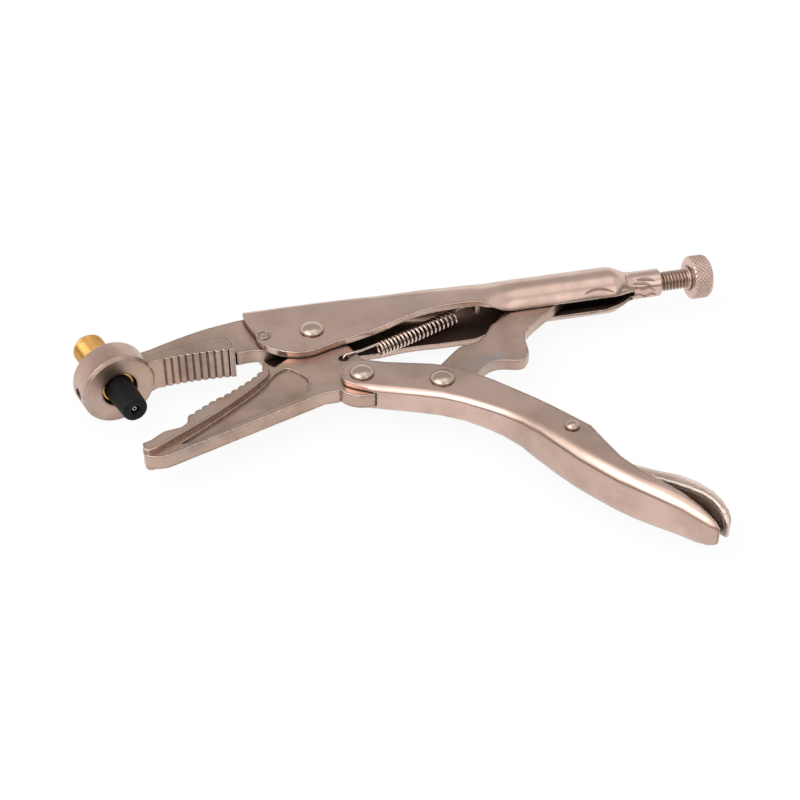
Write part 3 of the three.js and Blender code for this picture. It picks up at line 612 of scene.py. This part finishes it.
def wire_steel(name, colour):
    """Drawn steel: a fine grain, a little tarnish, and painted shade between the curls."""
    material, shader, here = finish(name, metallic=1.0)
    tarnish = here.noise(4 * MM, 3).ramp(0.45, 0.75)
    # Painted shade: darker between the curls.
    between = shaded(here, 1.6 * MM, 0.1, 0.6)
    plating = (tarnish * 0.6).tint(colour, [0.6 * c for c in colour])
    feed(shader, "Base Color", (between * 0.8).tint(plating, PAINTED_WIRE_SHADE))
    feed(shader, "Roughness", 0.2 + tarnish * 0.14)
    feed(shader, "Normal", bumped(here, 0.1, 0.05 * MM, here.noise(0.12 * MM, 2)))
    return material


def machined_brass(name, colour):
    """Brass from the lathe: a fine grain and a dull film, with painted shade in the thread's roots."""
    material, shader, here = finish(name, metallic=1.0)
    film = here.noise(2.2 * MM, 4).ramp(0.4, 0.75)
    root_shade = shaded(here, 0.8 * MM, 0.3, 0.9)
    # The film is the brass's own; the darkening in the roots is painted shade.
    feed(shader, "Base Color", (film * 0.2 + root_shade * 0.6).tint(colour, BRASS_FILM_AND_SHADE))
    feed(shader, "Roughness", 0.22 + film * 0.12 + root_shade * 0.12)
    feed(shader, "Normal", bumped(here, 0.12, 0.05 * MM, here.noise(0.2 * MM, 2)))
    return material


def moulded_rubber(name, colour, edge):
    """Black rubber: matt, with a faint bloom and fine pores."""
    material, shader, here = finish(name, Specular_IOR_Level=0.16)
    bloom = here.noise(2.5 * MM, 4).ramp(0.45, 0.8)
    feed(shader, "Base Color", (bloom * 0.5).tint(colour, RUBBER_BLOOM))
    feed(shader, "Roughness", 0.52 + bloom * 0.16)
    pores = here.noise(0.18 * MM, 2)
    feed(shader, "Normal", bumped(here, 0.25, 0.08 * MM, pores, rounding(here, edge)))
    return material


def blackened_steel(name, colour):
    """Black oxide over steel, rubbed a little."""
    material, shader, here = finish(name, metallic=0.8)
    rubbed = here.noise(0.8 * MM, 3).ramp(0.5, 0.8)
    feed(shader, "Base Color", (rubbed * 0.5).tint(colour, RUBBED_OXIDE))
    feed(shader, "Roughness", 0.42 + rubbed * 0.15)
    return material


# Meshes


def put(name, mesh, material, body, *nodes):
    """Shows a mesh as a piece on a body, in place of these nodes."""
    piece = bpy.data.objects.new(name, mesh)
    bpy.context.scene.collection.objects.link(piece)
    mesh.materials.clear()
    mesh.materials.append(material)
    if nodes:
        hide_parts(*nodes)
    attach(piece, body)
    return piece


def smooth(mesh, angle):
    """Smooth shading with sharp edges above an angle in degrees."""
    mesh.shade_smooth()
    mesh.set_sharp_from_angle(angle=math.radians(angle))


def skin(node, material, body):
    """A smooth-shaded skin over a node, of exactly its shape."""
    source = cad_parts[node]
    mesh = source.data.copy()
    mesh.name = node + "_skin"
    mesh.transform(source.matrix_world)
    same_point, same_plane = 0.002 * MM, math.radians(0.5)
    cleaned = bmesh.new()
    cleaned.from_mesh(mesh)
    bmesh.ops.remove_doubles(cleaned, verts=cleaned.verts, dist=same_point)
    bmesh.ops.dissolve_limit(cleaned, angle_limit=same_plane, verts=cleaned.verts, edges=cleaned.edges)
    cleaned.to_mesh(mesh)
    cleaned.free()
    if "custom_normal" in mesh.attributes:
        mesh.attributes.remove(mesh.attributes["custom_normal"])
    smooth(mesh, angle=34)
    piece = put(node + "_skin", mesh, material, body, node)
    even = piece.modifiers.new("even_normals", "WEIGHTED_NORMAL")
    even.keep_sharp = True
    return piece


def shade_channel_faces(piece, shaded_lining):
    """Gives a second finish, with painted shade, to the faces that look into a folded sheet's own channel.
    """
    clearance, channel = 1.5 * MM, 24 * MM
    looks_around, walls_needed = 8, 4
    mesh = piece.data
    sheet = BVHTree.FromPolygons([v.co for v in mesh.vertices], [list(p.vertices) for p in mesh.polygons])
    mesh.materials.append(shaded_lining)
    for face in mesh.polygons:
        side = face.normal.orthogonal().normalized()
        other = face.normal.cross(side)
        looks = [face.normal]
        for i in range(looks_around):
            turn = 2 * math.pi * i / looks_around
            looks.append((face.normal + side * math.cos(turn) + other * math.sin(turn)).normalized())
        start = Vector(face.center) + face.normal * clearance
        walls = sum(sheet.ray_cast(start, look, channel)[0] is not None for look in looks)
        if walls >= walls_needed:
            face.material_index = 1


def joined_rings(name, rings, made, loop, angle):
    """A closed surface over rings of points, with flat ends, or as a loop back to its first ring."""
    following = [*rings[1:], rings[0]] if loop else rings[1:]
    for first, second in zip(rings, following):
        for i in range(len(first)):
            k = (i + 1) % len(first)
            made.faces.new((first[i], first[k], second[k], second[i]))
    if not loop:
        made.faces.new(list(reversed(rings[0])))
        made.faces.new(rings[-1])
    bmesh.ops.recalc_face_normals(made, faces=made.faces)
    mesh = bpy.data.meshes.new(name)
    made.to_mesh(mesh)
    made.free()
    smooth(mesh, angle)
    return mesh


def turned_mesh(name, rows, matrix, sides, loop=False):
    """A turned surface, closed by flat ends, or as a loop where the last row goes back to the first.

    Each row is (distance along X, radius), and the radius may be a function of the angle.
    """
    made = bmesh.new()
    rings = []
    for along, radius in rows:
        ring = []
        for i in range(sides):
            turn = 2 * math.pi * i / sides
            r = radius(turn) if callable(radius) else radius
            ring.append(made.verts.new(matrix @ Vector((along, r * math.cos(turn), r * math.sin(turn)))))
        rings.append(ring)
    return joined_rings(name, rings, made, loop, angle=50)


def thread_rows(start, end, crest, depth, pitch):
    """Rows of a screw thread between two places, fading in and out at its ends."""
    rows_per_pitch, runout = 10, 0.9 * MM
    flank, land = 1.25, 0.15
    count = max(2, round((end - start) / (pitch / rows_per_pitch)))
    rows = []
    for i in range(count + 1):
        along = start + (end - start) * i / count
        fade = max(0.0, min(1.0, (along - start) / runout, (end - along) / runout))

        def radius(turn, along=along, fade=fade):
            phase = (along / pitch - turn / (2 * math.pi)) % 1
            wave = abs(2 * phase - 1)
            cut = min(1.0, max(0.0, flank * wave - land))
            return crest - depth * cut * fade

        rows.append((along, radius))
    return rows


def knurled_rows(left, right, rim, count, depth):
    """Rows of a bevelled rim with diamonds cut round it."""
    steps, bevel, roundness = 26, 0.9 * MM, 1.6
    left_fade, right_fade = 0.8 * MM, 1.4 * MM
    diamond = 2 * math.pi * rim / count
    rows = []
    for i in range(steps + 1):
        along = left + (right - left) * i / steps
        fade = max(0.0, min(1.0, (along - left) / left_fade, (right - along) / right_fade))

        def radius(turn, along=along, fade=fade):
            around = turn * count / (2 * math.pi)
            one = abs(2 * ((around + along / diamond) % 1) - 1)
            other = abs(2 * ((around - along / diamond) % 1) - 1)
            return rim - bevel * (1 - fade) ** roundness - depth * (1 - min(one, other)) * fade

        rows.append((along, radius))
    return rows


def rivet_rows(seat, shank, head, rise):
    """Rows of a rivet with a spun head on both ends: a low rim and a full dome."""
    dome = (
        (1, 0),
        (1, 0.1),
        (0.985, 0.21),
        (0.94, 0.36),
        (0.86, 0.52),
        (0.74, 0.68),
        (0.58, 0.82),
        (0.4, 0.92),
        (0.2, 0.98),
        (0.015, 1),
    )
    upper = [(seat + rise * up, head * out) for out, up in dome]
    lower = [(-along, radius) for along, radius in reversed(upper)]
    return [*lower, (-seat, shank), (seat, shank), *upper]


def smooth_line(points):
    """A smooth curve through all the points."""
    steps = 6
    padded = [2 * points[0] - points[1], *points, 2 * points[-1] - points[-2]]
    line = []
    for a, b, c, d in zip(padded, padded[1:], padded[2:], padded[3:]):
        for i in range(steps):
            t = i / steps
            square = (2 * a - 5 * b + 4 * c - d) * t**2
            cube = (3 * b - a - 3 * c + d) * t**3
            line.append(0.5 * (2 * b + (c - a) * t + square + cube))
    return [*line, points[-1]]


def swept_wire(name, points, radius, tapered=False):
    """A round wire through points, which may run out to a point at both ends."""
    sides, steep = 10, 0.9
    point_share, fullness = 0.1, 0.6
    made = bmesh.new()
    up = Vector((0, 0, 1))
    rings = []
    for i, point in enumerate(points):
        forward = (points[min(i + 1, len(points) - 1)] - points[max(i - 1, 0)]).normalized()
        if i == 0 and abs(forward.z) > steep:
            up = Vector((1, 0, 0))
        up = (up - forward * up.dot(forward)).normalized()
        side = forward.cross(up)
        swell = math.sin(math.pi * i / (len(points) - 1)) ** fullness
        share = point_share + swell if tapered else 1
        ring = []
        for k in range(sides):
            turn = 2 * math.pi * k / sides
            out = up * math.cos(turn) + side * math.sin(turn)
            ring.append(made.verts.new(point + radius * share * out))
        rings.append(ring)
    return joined_rings(name, rings, made, loop=False, angle=60)


# Operators


class PLIERS_OT_handles(bpy.types.Operator):
    """Finishes the two pressed handles and the release lever"""

    bl_idname = "pliers.handles"
    bl_label = "Handles"

    def execute(self, context):
        sizes, colours = context.scene.pliers_sizes, context.scene.pliers_colours
        plating = plated_steel(
            "handle_plating",
            colours.handle,
            colours.stain,
            grain=0.45 * MM,
            rough=0.15,
            edge=sizes.edge_round,
            worn=0.3,
        )
        # The handles' lining is dark as painted shade inside their channels.
        shaded_lining = sheet_inside_shaded("handle_inside_shade", colours.handle_inside_shade, shade=0.85, metallic=0.85)
        shade_channel_faces(skin("upper_handle", plating, "frame"), shaded_lining)
        shade_channel_faces(skin("lower_handle", plating, "grip"), shaded_lining)

        # The lever is plated like the handles; its lighter colours are painted light on its curved tail and
        # in its trough, and its wider rounded edges widen the painted edge highlight.
        lever_lit_plating = plated_steel(
            "lever_plating_lit",
            colours.lever,
            colours.stain,
            grain=0.45 * MM,
            rough=0.18,
            edge=3 * sizes.edge_round,
            worn=0.2,
        )
        trough = sheet_inside_shaded("lever_trough_lit", colours.lever_trough_lit, shade=0.4, metallic=0.3)
        shade_channel_faces(skin("release_lever", lever_lit_plating, "lever"), trough)

        radius, bead, sides = 2.1 * MM, 0.24 * MM, 10
        turns = [2 * math.pi * k / sides for k in range(sides)]
        rows = [(bead * math.sin(turn), radius + bead * math.cos(turn)) for turn in turns]
        mesh = turned_mesh("dimple_rim", rows, upright_frame(place(*DIMPLE)), sides=40, loop=True)
        put("dimple_rim", mesh, plating, "frame")

        # The folds' plating is darker than the handles' as painted shade.
        shaded_crimps = plated_steel(
            "crimp_plating_shaded",
            colours.crimp_shaded,
            colours.stain,
            grain=0.4 * MM,
            rough=0.2,
            edge=0.2 * MM,
            worn=0.6,
        )
        for name, thickness, line in CRIMPS:
            points = smooth_line([place(*point) for point in line])
            put(name, swept_wire(name, points, thickness * MM, tapered=True), shaded_crimps, "frame")
        return {"FINISHED"}


class PLIERS_OT_jaws(bpy.types.Operator):
    """Finishes the forged jaws and the toggle link"""

    bl_idname = "pliers.jaws"
    bl_label = "Jaws and link"

    def execute(self, context):
        sizes, colours = context.scene.pliers_sizes, context.scene.pliers_colours
        plating = plated_steel(
            "jaw_plating",
            colours.jaw,
            colours.stain,
            grain=0.6 * MM,
            rough=0.24,
            edge=sizes.edge_round,
            worn=0.45,
            relief=0.3,
            bloom=0.8,
            inside=0.45,
        )
        skin("fixed_jaw", plating, "frame")
        skin("moving_jaw", plating, "jaw")
        skin("toggle_link", plating, "link")
        return {"FINISHED"}


class PLIERS_OT_rivets(bpy.types.Operator):
    """Finishes the four rivets, the needle and the set screw"""

    bl_idname = "pliers.rivets"
    bl_label = "Rivets, needle and set screw"

    def execute(self, context):
        colours = context.scene.pliers_colours
        bright = plated_steel(
            "rivet_plating",
            colours.rivet,
            colours.stain,
            grain=0.4 * MM,
            rough=0.08,
            edge=0.2 * MM,
            worn=0.2,
        )
        large = rivet_rows(seat=5.15 * MM, shank=2.8 * MM, head=4 * MM, rise=2 * MM)
        small = rivet_rows(seat=8.45 * MM, shank=1.5 * MM, head=2.3 * MM, rise=1.6 * MM)
        for node, body, rows in (
            ("main_rivet", "frame", large),
            ("jaw_rivet", "jaw", large),
            ("link_rivet", "grip", large),
            ("lever_rivet", "grip", small),
        ):
            mesh = turned_mesh(node + "_spun", rows, upright_frame(middle_of(node)), sides=48)
            put(node + "_spun", mesh, bright, body, node)
        skin("piercing_needle", wire_steel("needle_steel", colours.needle), "frame")
        skin("set_screw", blackened_steel("black_oxide", colours.black), "frame")
        return {"FINISHED"}


class PLIERS_OT_fitting(bpy.types.Operator):
    """Makes the brass flare fitting with its thread"""

    bl_idname = "pliers.fitting"
    bl_label = "Flare fitting"

    def execute(self, context):
        sizes, colours = context.scene.pliers_sizes, context.scene.pliers_colours
        bore, socket, collar, neck, crest = 2.3 * MM, 4.85 * MM, 5.95 * MM, 5.2 * MM, 5.48 * MM
        mouth, seat, shoulder, end = -1.4 * MM, -7.4 * MM, -10.3 * MM, -28.5 * MM
        cone_base, cone_nose = 5 * MM, 3.8 * MM
        chamfer, cone = 0.25 * MM, 2.1 * MM
        thread = thread_rows(
            end + cone + 0.5 * MM, shoulder - 0.3 * MM, crest, sizes.flare_depth, sizes.flare_pitch
        )
        rows = [
            (seat, bore),
            (seat, socket),
            (mouth, socket),
            (mouth, collar - chamfer),
            (mouth - chamfer, collar),
            (shoulder, collar),
            (shoulder, neck),
            *reversed(thread),
            (end + cone, cone_base),
            (end + 0.15 * MM, cone_nose),
            (end, cone_nose - 0.2 * MM),
            (end, bore + 0.15 * MM),
            (end + 0.3 * MM, bore),
        ]
        mesh = turned_mesh("brass_thread", rows, axis_frame(*RING_FACE, RING_ANGLE), sides=64, loop=True)
        put("brass_thread", mesh, machined_brass("machined_brass", colours.brass), "frame", "brass_fitting")
        return {"FINISHED"}


class PLIERS_OT_gasket(bpy.types.Operator):
    """Makes the black rubber gasket"""

    bl_idname = "pliers.gasket"
    bl_label = "Rubber gasket"

    def execute(self, context):
        sizes, colours = context.scene.pliers_sizes, context.scene.pliers_colours
        seat, tip = -5.4 * MM, 12.4 * MM
        base, bore, bevel = 4.7 * MM, 1.55 * MM, 0.2 * MM
        rows = [
            (seat, bore),
            (seat, base),
            (0, base),
            (6 * MM, base - 0.23 * MM),
            (tip - 0.9 * MM, base - 0.46 * MM),
            (tip - 0.3 * MM, base - 0.68 * MM),
            (tip - 0.06 * MM, base - 1 * MM),
            (tip, base - 1.4 * MM),
            (tip, bore + bevel),
            (tip - bevel, bore),
        ]
        mesh = turned_mesh("gasket", rows, axis_frame(*RING_FACE, RING_ANGLE), sides=48, loop=True)
        rubber = moulded_rubber("moulded_rubber", colours.rubber, sizes.edge_round)
        put("gasket", mesh, rubber, "frame", "rubber_gasket")
        return {"FINISHED"}


class PLIERS_OT_screw(bpy.types.Operator):
    """Makes the adjusting screw's thread and the knurled knob"""

    bl_idname = "pliers.screw"
    bl_label = "Screw and knob"

    def execute(self, context):
        sizes, colours = context.scene.pliers_sizes, context.scene.pliers_colours
        matrix = axis_frame(0, SCREW_LINE, 0)
        left, right, lip = KNOB_LEFT * MM, KNOB_RIGHT * MM, KNOB_LIP * MM

        tip, end = SCREW_TIP * MM, right - 0.9 * MM
        crest, core, shank, chamfer = 3.5 * MM, 2.6 * MM, 3.3 * MM, 0.2 * MM
        thread = thread_rows(tip + 0.7 * MM, left - lip, crest, sizes.screw_depth, sizes.screw_pitch)
        rows = [(tip, core), *thread, (end - chamfer, shank), (end, shank - chamfer)]
        plating = cut_steel(
            "thread_plating", colours.thread, rough=0.24, root_open=0.5, crest_open=0.97, shade=0.1
        )
        mesh = turned_mesh("screw_thread", rows, matrix, sides=48)
        put("screw_thread", mesh, plating, "screw", "adjusting_screw")

        bore, collar, rim = 3.45 * MM, 4 * MM, 7.78 * MM
        chamfer, dish = 0.15 * MM, 0.12 * MM
        rows = [
            (right - 0.6 * MM, bore),
            (left - lip, bore),
            (left - lip, collar - chamfer),
            (left - lip + chamfer, collar),
            (left + 0.1 * MM, collar),
            (left + 0.14 * MM, collar + 0.2 * MM),
            (left + 0.04 * MM, collar + 0.5 * MM),
            (left, collar + 0.8 * MM),
            (left, 6.7 * MM),
            *knurled_rows(left, right, rim, sizes.knurl_count, sizes.knurl_depth),
            (right, 6.1 * MM),
            (right - dish, 5.9 * MM),
            (right - dish, 0.3 * MM),
        ]
        knurling = cut_steel(
            "knurl_plating", colours.handle, rough=0.22, root_open=0.6, crest_open=0.96, shade=0.5
        )
        mesh = turned_mesh("knurled_knob", rows, matrix, sides=8 * sizes.knurl_count)
        put("knurled_knob", mesh, knurling, "knob", "adjusting_knob")
        return {"FINISHED"}


class PLIERS_OT_spring(bpy.types.Operator):
    """Makes the return spring"""

    bl_idname = "pliers.spring"
    bl_label = "Return spring"

    def execute(self, context):
        sizes, colours = context.scene.pliers_sizes, context.scene.pliers_colours
        wire, mean = sizes.wire, 2.35 * MM
        hook, tab = place(*HOOK_HOLE), place(*SPRING_TAB)
        length = (tab - hook).length
        along = (tab - hook).normalized()
        across = Vector((-along.y, along.x, 0))

        def at(distance, side, height):
            return hook + along * distance + across * side + Vector((0, 0, height))

        # The hook comes up through the moving jaw, and the curls open a little towards the loop.
        drop, loop = 2.5 * MM + wire, 0.75 * MM + wire
        first, last = 0.258 * length, 0.84 * length
        curls, steps, closeness = 20, 20, 0.85
        points = [
            at(0, 0, -drop),
            at(0, 0, 0),
            at(0, 0, drop - wire / 2),
            at(wire, 0, drop + wire / 4),
            at(first / 2, 0, mean + wire / 4),
            at(first - wire, 0, mean),
        ]
        for i in range(curls * steps + 1):
            turn = 2 * math.pi * i / steps
            share = i / (curls * steps)
            distance = first + (last - first) * share * (closeness + (1 - closeness) * share)
            points.append(at(distance, -mean * math.sin(turn), mean * math.cos(turn)))
        points += [
            at(last + 2 * wire, 0, mean),
            at(length - loop, 0, mean),
            at(length + loop, 0, mean),
            at(length + loop, 0, 0),
            at(length + loop, 0, -mean),
        ]
        mesh = swept_wire("spring_wire", points, wire / 2)
        mesh.materials.append(wire_steel("drawn_wire", colours.wire))
        piece = bpy.data.objects.new("spring_wire", mesh)
        context.scene.collection.objects.link(piece)
        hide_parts("return_spring")
        stretch_start, stretch_end = at(first / 2, 0, 0), at(last + 2 * wire, 0, 0)
        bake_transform(piece)
        return {"FINISHED"}


def seen_rays(tree):
    """1 for the rays of the camera, of gloss and of glass, 0 for the light that falls on the object."""
    path = tree.nodes.new("ShaderNodeLightPath")
    rays = ("Is Camera Ray", "Is Glossy Ray", "Is Transmission Ray")
    camera, gloss, glass = (Value(path.outputs[ray]) for ray in rays)
    return (camera + gloss + glass).clamped()


def white_paper():
    """Paper that shows nearly white to the camera and in the metal, and keeps the pliers' shadow."""
    paper = bpy.data.materials.new("white_paper")
    paper.use_nodes = True
    tree = paper.node_tree
    tree.nodes.clear()
    seen, whiteness = seen_rays(tree), 0.92
    card = seen.node("ShaderNodeBsdfDiffuse", None, {"Color": (0.93, 0.93, 0.93, 1)})
    glow = seen.node("ShaderNodeEmission", None, {"Color": (1, 1, 1, 1), "Strength": 1.0})
    mixed = seen.node("ShaderNodeMixShader", None, {0: seen * whiteness, 1: card, 2: glow})
    out = tree.nodes.new("ShaderNodeOutputMaterial")
    tree.links.new(mixed.socket, out.inputs["Surface"])
    return paper


def studio_world():
    """A white room whose light changes with its direction, so that the metal has something to mirror."""
    world = bpy.data.worlds.new("studio")
    world.use_nodes = True
    tree = world.node_tree
    background = tree.nodes["Background"]
    background.inputs["Color"].default_value = (1, 1, 1, 1)
    direction = Value(tree.nodes.new("ShaderNodeTexCoord").outputs["Generated"])
    across, behind, rise = (
        direction.node("ShaderNodeSeparateXYZ", None, {"Vector": direction}, out=axis) for axis in "XYZ"
    )
    # Behind the pliers the wall is dimmer. In front there is a window on the left, with dusk near the floor
    # and a dimmer ceiling.
    front = 1 - behind.ramp(0.1, 0.4)
    wall = 0.42 * rise.ramp(0.32, 0.52) * behind.ramp(0.1, 0.45)
    window = 0.95 * rise.ramp(0.2, 0.42) * (0 - across).ramp(0.1, 0.45) * front
    dusk = 0.8 * rise.ramp(0.0, 0.04) * (1 - rise.ramp(0.2, 0.34)) * front
    canopy = 0.12 * rise.ramp(0.2, 0.45) * front
    level = 1.05 - wall + window - dusk - canopy
    tree.links.new(level.socket, background.inputs["Strength"])
    return world


class PLIERS_OT_stage(bpy.types.Operator):
    """Lays the white floor and sets the lamps and the camera"""

    bl_idname = "pliers.stage"
    bl_label = "Stage"

    def execute(self, context):
        scene = context.scene
        scene.view_settings.view_transform = "Standard"
        scene.world = studio_world()

        def set_out(name, data, location, looks_along=None):
            """Puts a lamp, the camera or the floor in the scene, turned to look along a direction."""
            placed = bpy.data.objects.new(name, data)
            placed.location = location
            if looks_along is not None:
                placed.rotation_euler = looks_along.to_track_quat("-Z", "Y").to_euler()
            scene.collection.objects.link(placed)
            return placed

        half = 3.0
        corners = [(-half, -half, 0), (half, -half, 0), (half, half, 0), (-half, half, 0)]
        floor = bpy.data.meshes.new("floor")
        floor.from_pydata(corners, [], [(0, 1, 2, 3)])
        floor.materials.append(white_paper())
        set_out("floor", floor, (0, 0, 0))

        target = place(*VIEWED)
        for name, offset, size, power in LAMPS:
            lamp = bpy.data.lights.new(name, "AREA")
            lamp.shape = "DISK"
            lamp.size = size
            lamp.energy = power
            set_out(name, lamp, target + Vector(offset), -Vector(offset))

        lens = bpy.data.cameras.new("camera")
        lens.sensor_width = FILM_WIDTH
        lens.lens = FOCAL_LENGTH
        lens.clip_start = 0.01
        offset = Vector(TO_CAMERA) * MM
        scene.camera = set_out("camera", lens, target + offset, -offset)
        return {"FINISHED"}


class PLIERS_PT_panel(bpy.types.Panel):
    """Lists the pliers' pieces, sizes and colours"""

    bl_idname = "PLIERS_PT_panel"
    bl_label = "Pliers"
    bl_space_type = "VIEW_3D"
    bl_region_type = "UI"
    bl_category = "Pliers"

    def draw(self, context):
        layout = self.layout
        for operator in OPERATORS:
            layout.operator(operator.bl_idname)
        for group in (context.scene.pliers_sizes, context.scene.pliers_colours):
            column = layout.column()
            for name in group.__annotations__:
                column.prop(group, name)


OPERATORS = (
    PLIERS_OT_handles,
    PLIERS_OT_jaws,
    PLIERS_OT_rivets,
    PLIERS_OT_fitting,
    PLIERS_OT_gasket,
    PLIERS_OT_screw,
    PLIERS_OT_spring,
    PLIERS_OT_stage,
)
CLASSES = (PliersSizes, PliersColours, *OPERATORS, PLIERS_PT_panel)


def register():
    for made in CLASSES:
        bpy.utils.register_class(made)
    bpy.types.Scene.pliers_sizes = bpy.props.PointerProperty(type=PliersSizes)
    bpy.types.Scene.pliers_colours = bpy.props.PointerProperty(type=PliersColours)


def unregister():
    del bpy.types.Scene.pliers_colours
    del bpy.types.Scene.pliers_sizes
    for made in reversed(CLASSES):
        bpy.utils.unregister_class(made)


def main():
    register()
    bpy.ops.pliers.handles()
    bpy.ops.pliers.jaws()
    bpy.ops.pliers.rivets()
    bpy.ops.pliers.fitting()
    bpy.ops.pliers.gasket()
    bpy.ops.pliers.screw()
    bpy.ops.pliers.spring()
    bpy.ops.pliers.stage()


if __name__ == "__main__":
    main()
